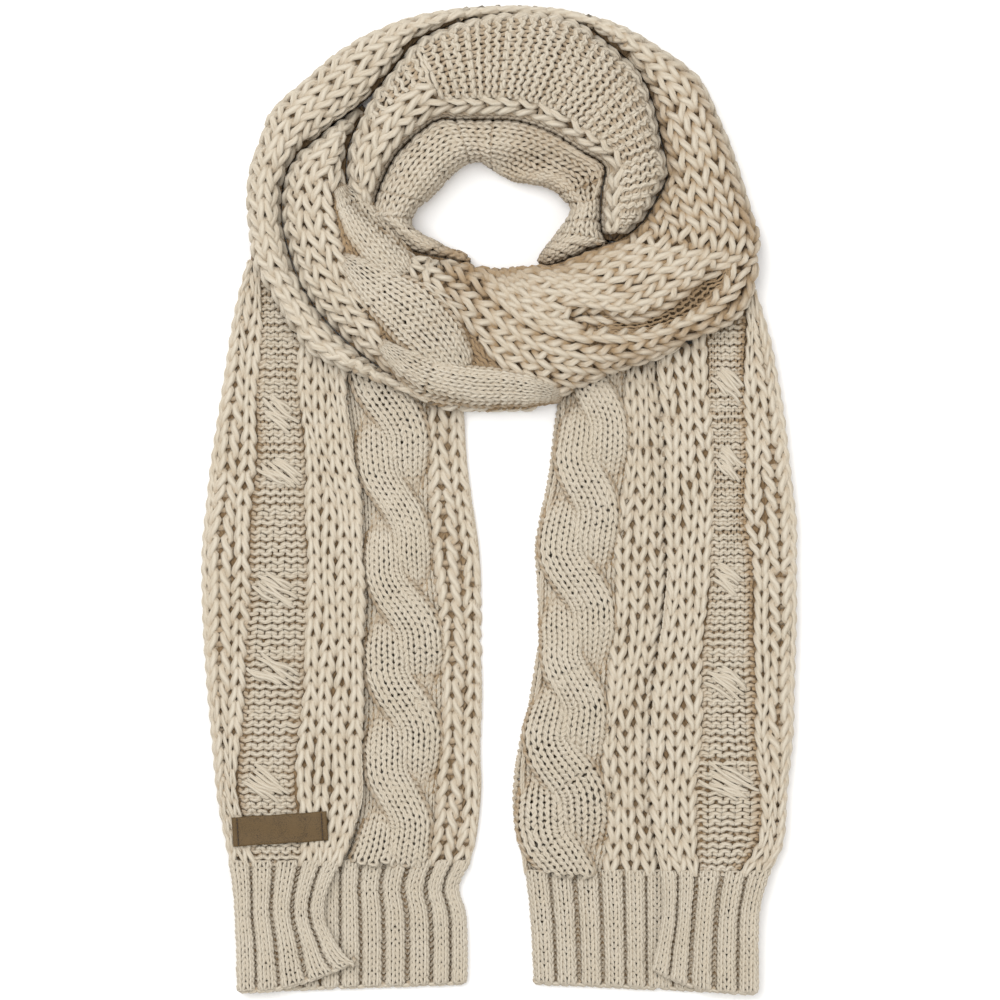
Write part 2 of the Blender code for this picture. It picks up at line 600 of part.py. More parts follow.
def label(material):
    """The blank patch sewn on the left end's flap: a thin plate with rounded corners."""
    x, y, turn = LABEL_PLACE
    height = 2 * CLOTH + FOLD_AIR + RIB_RISE + LABEL_AIR + LABEL_SIZE[2] / 2
    bpy.ops.mesh.primitive_cube_add(size=1)
    patch = bpy.context.object
    patch.name = "label"
    patch.data.name = "label"
    patch.data.transform(Matrix.Diagonal(LABEL_SIZE + (1000,)) * MM)
    patch.location = (x * MM, y * MM, height * MM)
    patch.rotation_euler = (0, 0, math.radians(turn))
    corners = patch.modifiers.new("round corners", "BEVEL")
    corners.affect = "EDGES"
    corners.limit_method = "NONE"
    corners.width = LABEL_ROUND * MM
    corners.segments = 2
    patch.data.materials.append(material)
    for collection in patch.users_collection:
        collection.objects.unlink(patch)
    bpy.data.collections[COLLECTION].objects.link(patch)
    return patch


def wrap_kinds(turn):
    outer = "outline" if turn < SECOND_TURN else "wall"
    return outer, "hole" if HOLE_TURNS[0] < turn < HOLE_TURNS[1] else "wall"


STRETCHES = {
    "back_wrap": {
        "turns": (WRAP_STARTS, WRAP_SPLIT - SPLIT_GAP), "outer": wrap_outer, "inner": wrap_inner,
        "heights": WRAP_HEIGHTS, "samples": first_turn_samples, "kinds": wrap_kinds,
        "bends": False,
    },
    "front_wrap": {
        "turns": (WRAP_SPLIT + SPLIT_GAP, WRAP_ENDS), "outer": wrap_outer, "inner": wrap_inner,
        "heights": WRAP_HEIGHTS, "samples": front_samples, "kinds": wrap_kinds,
        "bends": True,
    },
    "back_collar": {
        "turns": (COLLAR_STARTS, COLLAR_ENDS), "outer": collar_outer, "inner": collar_inner,
        "heights": COLLAR_HEIGHTS, "samples": plain_samples,
        "kinds": lambda turn: ("wall", "wall"), "bends": False,
    },
    "neck_band": {
        "turns": (NECK_STARTS, NECK_ENDS), "outer": neck_outer, "inner": hole_edge,
        "heights": NECK_HEIGHTS, "samples": plain_samples,
        "kinds": lambda turn: ("wall", "hole"), "bends": False,
    },
}


def finish_material(name, colour, roughness):
    material = bpy.data.materials.new(name)
    material.use_nodes = True
    shader = material.node_tree.nodes["Principled BSDF"]
    shader.inputs["Base Color"].default_value = colour
    shader.inputs["Roughness"].default_value = roughness
    shader.inputs["Metallic"].default_value = 0
    return material


def main():
    for old in list(bpy.data.objects):
        bpy.data.objects.remove(old)
    collection = bpy.data.collections.new(COLLECTION)
    bpy.context.scene.collection.children.link(collection)
    for name, shape in ENDS.items():
        scarf_end(name, shape, finish_material(name + " knit", YARN, 0.95))
    for name, stretch in STRETCHES.items():
        ring_stretch(name, stretch, finish_material(name + " knit", YARN, 0.95))
    label(finish_material("label face", LABEL_BROWN, 0.6))


main()
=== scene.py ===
import math

import bpy
import numpy as np
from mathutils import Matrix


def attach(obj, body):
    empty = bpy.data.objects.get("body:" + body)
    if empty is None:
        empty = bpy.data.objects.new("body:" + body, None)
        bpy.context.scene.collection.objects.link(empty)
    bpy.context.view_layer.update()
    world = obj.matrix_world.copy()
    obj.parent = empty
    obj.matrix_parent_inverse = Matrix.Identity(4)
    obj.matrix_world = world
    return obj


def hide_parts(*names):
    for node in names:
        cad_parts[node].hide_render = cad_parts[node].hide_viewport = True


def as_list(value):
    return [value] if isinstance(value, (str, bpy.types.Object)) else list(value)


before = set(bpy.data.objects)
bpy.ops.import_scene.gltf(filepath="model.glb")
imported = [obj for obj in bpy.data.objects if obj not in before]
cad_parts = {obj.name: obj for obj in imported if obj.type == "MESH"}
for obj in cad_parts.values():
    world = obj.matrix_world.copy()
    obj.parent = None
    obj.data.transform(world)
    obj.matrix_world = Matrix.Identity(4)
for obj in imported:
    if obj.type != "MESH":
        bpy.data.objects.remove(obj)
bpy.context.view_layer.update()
mm = 0.001
dice = np.random.default_rng(11)

# sizes that all the pieces share, in millimetres
cloth = {
    "thickness": 5.5,
    "foldAir": 0.6,
    "seam": 0.4,
    "ground": 5.0,  # how far the backing lies below the ribs' crests
    "backing": 1.2,  # the backing's own thickness
    "wall": 0.3,  # how far the backing's standing sides are drawn in
    "bulge": 1.1,  # how far the yarn of neighbouring stretches swells over their seam
    "slopeShare": 0.42,  # how much a slope's height counts in a rib's width
    "ribPitch": 12.3,
    "overlap": 0.6,  # how far a column's stitches reach under its neighbour's
    "ribRise": 1.6,
}

# one row per way of knitting: stitch width and height, yarn radius, how much a loop's legs lean
# and how far they are drawn to its middle, how many rows a loop spans, half its depth, points
# along a stitch, sides of the yarn and, where it isn't the usual, how uneven the loops are
gauges = {
    "rib": {"wale": 9.8, "course": 9.8, "yarn": 2.1, "lean": 0.22, "pull": 0.045, "tall": 1.5,
            "depth": 1.6, "points": 14, "sides": 6},
    "ring": {"wale": 12.5, "course": 10.4, "yarn": 2.22, "lean": 0.265, "pull": 0.0, "tall": 1.65,
             "depth": 2.1, "points": 14, "sides": 6, "stray": 1.5},
    "wide": {"wale": 14.0, "course": 9.8, "yarn": 2.3, "lean": 0.235, "pull": 0.0, "tall": 1.75,
             "depth": 1.5, "points": 14, "sides": 6},
    "plain": {"wale": 5.0, "course": 3.9, "yarn": 1.34, "lean": 0.235, "pull": 0.0, "tall": 1.6,
              "depth": 0.7, "points": 10, "sides": 5},
    "lobe": {"wale": 6.0, "course": 4.4, "yarn": 1.36, "lean": 0.235, "pull": 0.0, "tall": 1.6,
             "depth": 1.0, "points": 10, "sides": 5},
    "band": {"wale": 6.0, "course": 5.2, "yarn": 1.48, "lean": 0.21, "pull": 0.0, "tall": 1.4,
             "depth": 1.1, "points": 10, "sides": 5},
    "purl": {"wale": 5.8, "course": 4.5, "yarn": 1.42, "lean": 0.25, "pull": 0.0, "tall": 1.5,
             "depth": 1.25, "points": 10, "sides": 5, "stray": 1.7},
    "bed": {"wale": 5.6, "course": 4.2, "yarn": 1.3, "lean": 0.235, "pull": 0.0, "tall": 1.6,
            "depth": 0.9, "points": 8, "sides": 4},
    "cuff": {"wale": 4.4, "course": 3.7, "yarn": 1.14, "lean": 0.25, "pull": 0.0, "tall": 1.55,
             "depth": 0.8, "points": 8, "sides": 5},
}

# how uneven the loops usually are, which multiplies the standard deviations of the legs' lean, the
# loop's span, the row's place and its height, and then those that it doesn't multiply, of the
# row's shift aside and of the yarn's radius
uneven = {"usual": 1.35, "lean": 0.09, "tall": 0.05, "row": 0.05, "height": 0.12,
          "aside": 0.015, "yarn": 0.035}

# plan curves of the wound ring, as in the solids: rows of x, y
ringOutline = [
    (-18, 52), (-36, 53.5), (-62, 65), (-101, 79), (-119.5, 91), (-133, 113), (-143, 128.5),
    (-150, 143), (-152.5, 161), (-153.5, 180), (-152, 198), (-145, 218.5), (-140, 232),
    (-131, 242.5), (-120.5, 251), (-104, 266), (-84, 279), (-62.5, 288.5), (-39.5, 294.5),
    (-12, 297.5), (12, 298), (36, 296), (59.5, 291), (78, 284), (97, 272.5), (111, 263),
    (122, 253), (130, 237), (140, 213), (147, 192), (153, 173), (158, 161), (157, 147),
    (155.5, 132.5), (152, 120), (144, 107), (132, 99), (118, 94), (96, 83), (66, 72.5),
    (45, 63), (24.5, 53.5), (12, 52), (-6, 52), (-23, 52),
]
neckHole = [
    (-13, 143), (-18, 147.5), (-23.5, 151), (-30, 152.5), (-38, 157), (-45, 160),
    (-50.5, 164), (-51.5, 167.5), (-48, 174.5), (-40, 180.5), (-29.5, 192), (-24, 197),
    (-17.5, 201), (-12, 201), (-7, 198), (7, 190), (18, 188.5), (26.5, 186.5), (32.5, 183.5),
    (38, 178), (41, 174), (37, 167), (30, 158), (24, 150), (20, 144), (12, 141.5), (1, 140.5),
    (-13, 143),
]
firstCrease = [
    (-17, 53.5), (-42, 62), (-66, 75), (-90, 93), (-108, 111.5), (-119.5, 129.5), (-127, 150),
    (-131, 170), (-129.5, 191), (-123.5, 205), (-111.5, 215.5), (-98.5, 227), (-84, 237.5),
    (-75.5, 245),
]
collarOutside = [
    (-69.5, 252), (-61, 263), (-49, 276), (-36, 282.5), (-23, 287.5), (-6, 291.5), (12, 294),
    (27, 293), (39, 290.5), (54, 283), (66, 273), (77, 264), (84.5, 254.5), (90, 243),
    (94, 228), (98, 210), (101, 195), (97, 186), (91, 175), (84, 165), (73, 156.5),
]
frontLip = [
    (65.5, 154), (54, 150), (45, 146), (37, 143), (29, 141), (20, 142), (12, 141.5),
    (1, 140.5), (-13, 142), (-24, 143.5), (-36, 146), (-45, 147.5), (-53, 150), (-60, 156),
    (-69, 163),
]
collarLeft = [
    (-76, 168.5), (-83, 174), (-89, 181), (-92, 192), (-92, 204), (-89.5, 216.5), (-84, 228),
    (-78, 240), (-75.5, 245),
]
collarInside = [
    (-76, 168.5), (-75, 176.5), (-72.5, 186), (-67, 198.5), (-60, 209), (-49, 219.5),
    (-36.5, 227.5), (-26.5, 227.5), (-12, 227.5), (6, 227), (21, 224), (36, 217), (48, 209),
    (62.5, 200), (61, 186), (60, 171), (61, 159), (65.5, 154),
]
cableOutside = [
    (-23, 53), (-42, 59), (-57, 69), (-67, 83), (-77, 97), (-87, 114), (-95.5, 132),
    (-99.5, 147), (-101, 161), (-100, 177), (-97, 185),
]
cableInside = [
    (39.5, 60.5), (27, 65.5), (12, 79), (-3.5, 97), (-16, 117), (-27, 126), (-36, 131.5),
    (-48, 137), (-57, 143), (-62.5, 150), (-68, 159),
]
longCrease = [
    (155, 143), (151, 134), (147, 121), (132, 110), (114, 103), (96, 97), (79, 93.5),
    (60.5, 91), (48, 93), (36, 95.5), (24, 99.5), (14, 104), (0, 116), (-12, 125.5),
    (-23, 133), (-31, 138), (-37, 143),
]
frontPocket = [(48, 109), (68, 105), (81.5, 104), (99, 109), (114, 118), (128.5, 132.5)]
neckPocket = [(3, 200), (24, 201), (42, 199), (52, 190)]
troughs = [(frontPocket, 9.0, 5.0), (neckPocket, 8.0, 8.0)]  # run, depth, half width

# the front cable's bends: x, y, half length, half width, heading in degrees, rise
bends = [
    (-80.5, 161.0, 26.0, 19.0, -52.0, 3.5),
    (-47.5, 110.5, 34.0, 25.0, -50.0, 4.5),
    (-15.0, 68.0, 46.0, 15.0, -6.0, 4.0),
]

# heights round the ring: turn, crown, outer side, inner side
wrapHeights = [
    (-176, 27, 18, 17), (-160, 30, 18, 18), (-140, 32, 18, 19), (-100, 32, 17, 20),
    (-92, 31, 9, 20), (-60, 30, 8, 18), (-30, 27, 8, 17), (0, 22, 8, 15), (30, 28, 8, 17),
    (60, 34, 8, 20), (92, 37, 9, 22), (101, 38, 17, 22), (125, 39, 18, 20), (148, 36, 16, 14),
    (158, 34, 13, 11), (170, 31, 9, 9), (183, 31, 12, 9), (192, 34, 18, 9), (215, 39, 20, 15),
    (250, 38, 20, 19), (271, 35, 20, 18), (290, 33, 18, 17), (302, 29, 15, 15),
    (309, 14, 9, 9), (318, 9, 7, 7),
]
collarHeights = [
    (-88, 21, 16, 14), (-75, 28, 17, 16), (-60, 33, 18, 18), (-30, 38, 17, 20),
    (0, 41, 15, 22), (35, 42, 18, 22), (60, 40, 20, 20), (85, 36, 21, 19), (99, 25, 17, 15),
]
neckHeights = [
    (-165, 13, 9, 5), (-140, 18, 12, 5), (-100, 26, 16, 6), (-60, 31, 18, 6), (-20, 32, 22, 6),
    (10, 31, 22, 6), (45, 27, 22, 6), (62, 25, 20, 6), (80, 30, 18, 6), (105, 27, 16, 6),
    (131, 14, 10, 5),
]
endTops = [
    (-180, 0), (-175, 7.3), (-164, 7.3), (-160, 10.4), (-142, 10.4), (-138, 13.3), (-95, 13.3),
    (-90, 0), (90, 0), (95, 13.3), (132, 13.3), (136, 10.4), (152, 10.4), (156, 8), (160, 8),
    (165, 0), (180, 0),
]

# the ends: height on the page, then x of the fold, the purl panel's two edges, the flap's free
# edge, the cable's two edges and the panel's free edge
leftRows = [
    (143, -152, -144, -121, -97, -89, -43, -22), (110, -160, -144, -120, -95, -89, -43, -22),
    (71, -166, -145, -120, -92, -88.5, -43, -22), (26, -173, -146, -117.5, -88, -85, -44, -20),
    (0, -176, -148, -117, -83, -80.5, -43.5, -16.5),
    (-36, -179, -151, -116.5, -83, -80.5, -42, -12),
    (-90, -177.5, -152, -116, -82, -80, -35.5, -10.5),
    (-150, -172.5, -156, -122, -82, -80, -37, -11),
    (-180, -169.5, -157, -122.5, -83.5, -80.5, -40, -11.5),
    (-212, -163.5, -150, -120, -94, -86, -44, -16),
    (-232, -160, -142, -124, -103, -98, -44, -25), (-248, -159, -141, -124, -106, -102, -44, -21),
    (-268, -158, -140, -122, -101, -97, -44, -20),
    (-297, -157.5, -140, -121, -98, -94, -44, -20.5),
]
rightRows = [
    (140, 149, 142, 120, 95, 84, 43, 43), (126, 153.5, 147, 122, 95, 84, 43, 43),
    (98, 162, 147, 124, 95, 77, 40, 38), (78, 166, 147, 126, 95, 76, 40, 37),
    (52, 170.5, 148, 127, 98.5, 76, 38, 36), (13, 175, 147, 128, 99.5, 75, 32, 31),
    (-13, 178, 147, 128, 99.5, 70, 27, 25.5), (-32, 178, 150, 126, 99.5, 68, 24.5, 23),
    (-70, 178, 152, 124, 98.5, 68, 25, 24), (-88, 177.5, 153, 122.5, 96, 67, 26, 25),
    (-122, 176.5, 153.5, 121.5, 91, 64, 21, 19), (-141, 176, 153.5, 121.5, 90.5, 62, 16, 14.5),
    (-175, 172.5, 158, 117, 90.5, 63, 12.5, 11), (-206, 170, 154, 117, 92.5, 63, 13.5, 12),
    (-226, 160.5, 142, 120, 97, 60, 20, 14.5), (-248, 155, 139, 119, 97.5, 60, 22, 17),
    (-271, 154.5, 139, 119, 95.5, 60, 23, 18.5), (-295, 154.5, 139, 118, 95, 60, 24, 19.5),
]
columns = {"fold": 1, "purlOut": 2, "purlIn": 3, "flap": 4, "cableOut": 5, "cableIn": 6, "edge": 7}

# turns are in degrees clockwise from straight up, and reaches go out from the ring's middle
middle = np.array((-7.0, 167.0))
secondTurn = 189.8  # from here on the wrap lies inside its own start
wrapStarts, wrapSplit, wrapEnds = -170.0, 102.0, 313.0
splitGap = 0.15  # how far each of the wrap's two shells stops short of the split
collarStarts, collarMeets, collarEnds, collarTip = -86.0, -41.2, 98.5, 99.8
neckStarts, neckEnds = -156.0, 129.0
turnStep = 0.75  # between the sections that the yarn follows
# the ring's edge where it lies over an end
lip = {
    "reach": 4.0,  # how far it hangs over
    "slope": 0.6,  # how far its lower face is above the air's height outside, and below it inside
    "air": 2.0,  # between the end and the inside of the overhang
    "fullFrom": 7.0,  # the air's height from which the lip is whole
    "over": 1.5,  # how much sooner than the lip the ribs beside it end
}
# the rounded foot of the ring's sides elsewhere, and the least sizes of a section
foot = {
    "inset": 2.4,  # how far it is drawn in at the bottom, and at the knee above that
    "knee": 0.8,
    "kneeHeight": 2.8,
    "shoulder": 1.6,  # from a side to the first point of the top
    "leastWidth": 0.8,
    "leastTop": 0.6,
    "leastSide": 0.4,
}
# the crown over a section, which is lower where the section is narrower than its full width
dome = {"power": 2.0, "fullWidth": 15.0, "reliefFade": 5.0, "least": 3.0}


def smoothRun(rows, steps=6):
    # Catmull-Rom curve through the rows: each span is a cubic through its two ends, whose slopes
    # there are half the distance between the neighbours
    given = np.array(rows, float)
    ends = np.vstack([2 * given[0] - given[1], given, 2 * given[-1] - given[-2]])
    t = np.linspace(0, 1, steps, endpoint=False)[:, None]
    runs = []
    for a, b, c, d in zip(ends, ends[1:], ends[2:], ends[3:]):
        bend = (2 * a - 5 * b + 4 * c - d) * t**2 + (3 * b - a - 3 * c + d) * t**3
        runs.append(0.5 * (2 * b + (c - a) * t + bend))
    return np.vstack(runs + [given[-1:]])


def table(rows):
    return np.array(rows, float).T


def valueAt(turn, rows):
    # between rows of turn and value
    return np.interp(turn, *table(rows))


def polar(points):
    # turn and reach of points on the page
    offset = points[..., :2] - middle
    turn = np.degrees(np.arctan2(offset[..., 0], offset[..., 1]))
    return turn, np.hypot(offset[..., 0], offset[..., 1])


def reachByTurn(points, firstTurn):
    # an edge as turn and distance from the middle, where turn is clockwise from straight up
    offset = smoothRun(points) - middle
    turns = np.degrees(np.unwrap(np.arctan2(offset[:, 0], offset[:, 1])))
    turns += 360 * round((firstTurn - turns[0]) / 360)
    reach = np.hypot(offset[:, 0], offset[:, 1])
    order = np.argsort(turns)
    return turns[order], reach[order]


outerRun = reachByTurn(ringOutline, -175)
innerRun = reachByTurn(firstCrease + collarOutside + frontLip + collarLeft, -175)
holeRun = reachByTurn(neckHole, -166)
collarRun = reachByTurn(collarInside, -88)
cableOutRun = reachByTurn(cableOutside, 188)
cableInRun = reachByTurn(cableInside, 156)
creaseRun = reachByTurn(longCrease, 98)


def ringEdge(turn):
    return np.interp((turn + 172) % 360 - 172, *outerRun)


def wrapInner(turn):
    return np.interp(turn, *innerRun)


def wrapOuter(turn):
    return np.where(turn < secondTurn, ringEdge(turn), wrapInner(turn - 360))


def collarOuter(turn):
    early = np.minimum(wrapInner(turn), wrapInner(turn + 360))
    return np.where(turn < collarMeets, early, wrapInner(turn))


def collarInner(turn):
    return np.interp(turn, *collarRun)


def neckOuter(turn):
    late = np.where(turn < collarTip, collarInner(turn), wrapInner(turn))
    return np.where(turn < collarStarts, wrapInner(turn + 360), late)


def neckInner(turn):
    return np.interp((turn + 166) % 360 - 166, *holeRun)


def planPoints(turn, reach):
    angle = np.radians(turn)
    return np.stack([middle[0] + reach * np.sin(angle), middle[1] + reach * np.cos(angle)], -1)


def troughDepth(points):
    # a Gaussian of the distance to each trough's run, times its depth
    depth = np.zeros(points.shape[:-1])
    for run, deep, half in troughs:
        spots = smoothRun(run, 4)
        away = np.linalg.norm(points[..., None, :] - spots, axis=-1).min(axis=-1)
        depth += deep * np.exp(-((away / half) ** 2))
    return depth


def bendRise(points):
    # the upper half of an ellipsoid over each bend of the cable
    rise = np.zeros(points.shape[:-1])
    for x, y, halfLength, halfWidth, heading, high in bends:
        angle = math.radians(heading)
        dx, dy = points[..., 0] - x, points[..., 1] - y
        along = (dx * math.cos(angle) + dy * math.sin(angle)) / halfLength
        across = (dy * math.cos(angle) - dx * math.sin(angle)) / halfWidth
        rise = np.maximum(rise, high * np.sqrt(np.clip(1 - along**2 - across**2, 0, 1)))
    return rise


# a stretch's edges and heights, the turns between which its inner side is the neck hole's, and
# whether it makes the ring's outline and has the front cable
stretches = {
    "wrap": {"outer": wrapOuter, "inner": wrapInner, "heights": wrapHeights, "hole": (130, 200),
             "outline": True},
    "collar": {"outer": collarOuter, "inner": collarInner, "heights": collarHeights,
               "hole": (0, 0), "outline": False},
    "neck": {"outer": neckOuter, "inner": neckInner, "heights": neckHeights,
             "hole": (-360, 360), "outline": False},
}


def sides(turn, stretch, inset):
    # a section's two edges, crown and side heights, all drawn in by inset, and its lip
    turns, crowns, outerSides, innerSides = table(stretch["heights"])
    outer = stretch["outer"](turn) - cloth["seam"] / 2 - inset
    inner = stretch["inner"](turn) + cloth["seam"] / 2 + inset
    outline = (turn < secondTurn) & stretch["outline"]
    clear = np.where(outline, valueAt((turn + 180) % 360 - 180, endTops), 0)
    over = np.clip(clear / lip["fullFrom"], 0, 1)
    outerSide = np.interp(turn, turns, outerSides)
    outerSide = outerSide + (clear + lip["slope"] - outerSide) * over
    crown = np.interp(turn, turns, crowns)
    innerSide = np.interp(turn, turns, innerSides)
    return outer, inner, crown - inset, outerSide - inset, innerSide - inset, clear, over, outline


def besideHole(turn, stretch):
    # whether a stretch's inner side is the neck hole's
    first, last = stretch["hole"]
    return (turn > first) & (turn < last)


def topHeight(turn, reach, stretch, inset=0.0):
    # from one side's height to the other's, plus a dome (1 - |2 share - 1|^p)^(1/2) up to the crown
    outer, inner, crown, outerSide, innerSide = sides(turn, stretch, inset)[:5]
    width = np.maximum(outer - inner, 0.5)
    share = np.clip((outer - reach) / width, 0, 1)
    side = outerSide + (innerSide - outerSide) * share
    bulge = np.sqrt(np.clip(1 - np.abs(2 * share - 1) ** dome["power"], 0, 1))
    rise = (crown - side) * np.minimum(1.0, width / dome["fullWidth"])
    points = planPoints(turn, reach)
    fade = np.clip(np.minimum(share, 1 - share) * width / dome["reliefFade"], 0, 1)
    relief = -troughDepth(points)
    if stretch["outline"]:
        relief = relief + bendRise(points) * (turn > wrapSplit)
    return np.maximum(side + rise * bulge + relief * fade, dome["least"])


def sectionLoops(turns, stretch, inset, low, count=26):
    # closed sections round a stretch, from its outer foot over the top to its inner foot
    turn = np.asarray(turns, float)[:, None]
    outer, inner, _, outerSide, innerSide, clear, over, outline = sides(turn, stretch, inset)
    outer = outer + np.where(outline, 0.0, inset - cloth["wall"])
    inner = inner - np.where(besideHole(turn, stretch), 0.0, inset - cloth["wall"])
    width = np.maximum(outer - inner, foot["leastWidth"])
    shoulder = np.minimum(foot["shoulder"], width / 6)
    share = 0.5 - 0.5 * np.cos(np.linspace(0, math.pi, count))[None]
    reach = outer - shoulder - (width - 2 * shoulder) * share
    tops = np.maximum(topHeight(turn, reach, stretch, inset), low + foot["leastTop"])
    footIn = np.where(outline, foot["inset"] + (lip["reach"] - foot["inset"]) * over, 0)
    kneeIn = np.where(outline, foot["knee"] + (lip["reach"] - foot["knee"]) * over, 0)
    kneeHigh = foot["kneeHeight"] + (clear - lip["slope"] - foot["kneeHeight"]) * over
    limit = width / 4
    least = low + foot["leastSide"]
    reaches = [outer - np.minimum(footIn, limit), outer - np.minimum(kneeIn, limit), outer,
               reach, inner, inner]
    heights = [low + 0 * outer, kneeHigh + 0 * outer, np.maximum(outerSide, least),
               tops, np.maximum(innerSide, least), low + 0 * inner]
    return np.concatenate(reaches, 1), np.concatenate(heights, 1)


def lookUp(grid, u, v):
    # the grid's value between its four nearest points
    rows, cols = grid.shape[:2]
    a = np.clip(u, 0, 1) * (rows - 1)
    b = np.clip(v, 0, 1) * (cols - 1)
    i = np.minimum(a.astype(int), rows - 2)
    j = np.minimum(b.astype(int), cols - 2)
    s = (a - i)[..., None]
    t = (b - j)[..., None]
    near = grid[i, j] * (1 - s) + grid[i + 1, j] * s
    far = grid[i, j + 1] * (1 - s) + grid[i + 1, j + 1] * s
    return near * (1 - t) + far * t


def unit(vectors):
    return vectors / np.maximum(np.linalg.norm(vectors, axis=-1, keepdims=True), 1e-9)


def facing(grid, outward):
    # the grid's normals, on the side that outward points to, or turned over where it is -1
    normal = unit(np.cross(np.gradient(grid, axis=0), np.gradient(grid, axis=1)))
    if isinstance(outward, int):
        return normal * outward
    return normal * np.sign((normal * np.array(outward, float)).sum(axis=-1).mean())


def evenRows(grid, pitch):
    # the grid with its columns spaced evenly along its middle line, and the rows that fit there
    line = grid[grid.shape[0] // 2]
    along = np.concatenate([[0], np.cumsum(np.linalg.norm(np.diff(line, axis=0), axis=1))])
    count = max(1, round(along[-1] / pitch))
    spots = np.linspace(0, along[-1], count * 4 + 1)
    place = np.interp(spots, along, np.linspace(0, 1, len(along)))
    across = np.linspace(0, 1, grid.shape[0])
    return lookUp(grid, across[:, None] + 0 * place, 0 * across[:, None] + place), count


def sweep(centres, normals, radii, count):
    # a round profile carried along each line of centres, with both ends closed
    tangents = unit(np.gradient(centres, axis=1))
    across = unit(np.cross(normals, tangents))
    up = np.cross(tangents, across)
    angle = 2 * math.pi * np.arange(count) / count
    ring = (np.cos(angle)[:, None] * across[:, :, None] + np.sin(angle)[:, None] * up[:, :, None])
    points = centres[:, :, None] + radii[:, :, None, None] * ring
    tubes, length = centres.shape[:2]
    index = np.arange(tubes * length * count).reshape(tubes, length, count)
    turned = np.roll(index, -1, axis=2)
    quads = np.stack([index[:, :-1], turned[:, :-1], turned[:, 1:], index[:, 1:]], -1)
    step = np.linalg.norm(np.diff(centres, axis=1), axis=2)
    along = np.concatenate([np.zeros((tubes, 1)), np.cumsum(step, axis=1)], 1)
    along = np.broadcast_to(along[:, :, None], index.shape)
    around = np.broadcast_to(np.arange(count) / count, index.shape)
    low, high = along[:, :-1], along[:, 1:]
    near, far = around[:, :-1], around[:, :-1] + 1 / count
    uv = np.stack([np.stack([low, near], -1), np.stack([low, far], -1),
                   np.stack([high, far], -1), np.stack([high, near], -1)], -2)
    caps = np.concatenate([index[:, 0, ::-1], index[:, -1]])
    capUv = np.full(caps.shape + (2,), 0.5)
    return points.reshape(-1, 3), quads.reshape(-1, 4), uv.reshape(-1, 4, 2), caps, capUv


class Yarn:
    # collects swept yarn until it is made one mesh

    def __init__(self):
        self.parts = []
        self.points = 0

    def add(self, centres, normals, radii, deep, count):
        points, quads, uv, caps, capUv = sweep(centres, normals, radii, count)
        # deep is each centre's painted shade, which becomes the mesh's deep attribute
        deeps = np.repeat(deep.reshape(-1), count)
        self.parts.append((points, quads + self.points, uv, caps + self.points, capUv, deeps))
        self.points += len(points)

    def triangles(self):
        return sum(len(p[1]) * 2 + len(p[3]) * (p[3].shape[1] - 2) for p in self.parts)


def addObject(name, data):
    # a new object, in the scene
    made = bpy.data.objects.new(name, data)
    bpy.context.scene.collection.objects.link(made)
    return made


def newMesh(name, points, corners, starts, uv, deep, material):
    mesh = bpy.data.meshes.new(name)
    mesh.vertices.add(len(points))
    mesh.vertices.foreach_set("co", (points * mm).astype(np.float32).ravel())
    mesh.loops.add(len(corners))
    mesh.loops.foreach_set("vertex_index", corners.astype(np.int32))
    mesh.polygons.add(len(starts))
    mesh.polygons.foreach_set("loop_start", starts.astype(np.int32))
    mesh.update(calc_edges=True)
    layer = mesh.uv_layers.new(name="yarn")
    layer.data.foreach_set("uv", uv.astype(np.float32).ravel())
    # the deep attribute: painted shade that the yarn material darkens by
    attribute = mesh.attributes.new("deep", "FLOAT", "POINT")
    attribute.data.foreach_set("value", deep.astype(np.float32))
    mesh.shade_smooth()
    mesh.materials.append(material)
    piece = addObject(name, mesh)
    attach(piece, "root")
    return piece


def knitPiece(name, yarn, material):
    points, quads, uvs, caps, capUvs, deeps = zip(*yarn.parts)
    faces = quads + caps
    sizes = np.concatenate([np.full(len(f), f.shape[1]) for f in faces])
    piece = newMesh(name, np.concatenate(points), np.concatenate([f.ravel() for f in faces]),
                    np.concatenate([[0], np.cumsum(sizes)[:-1]]),
                    np.concatenate([uv.reshape(-1, 2) for uv in uvs + capUvs]),
                    np.concatenate(deeps), material)
    print(name, yarn.triangles(), "triangles")
    return piece


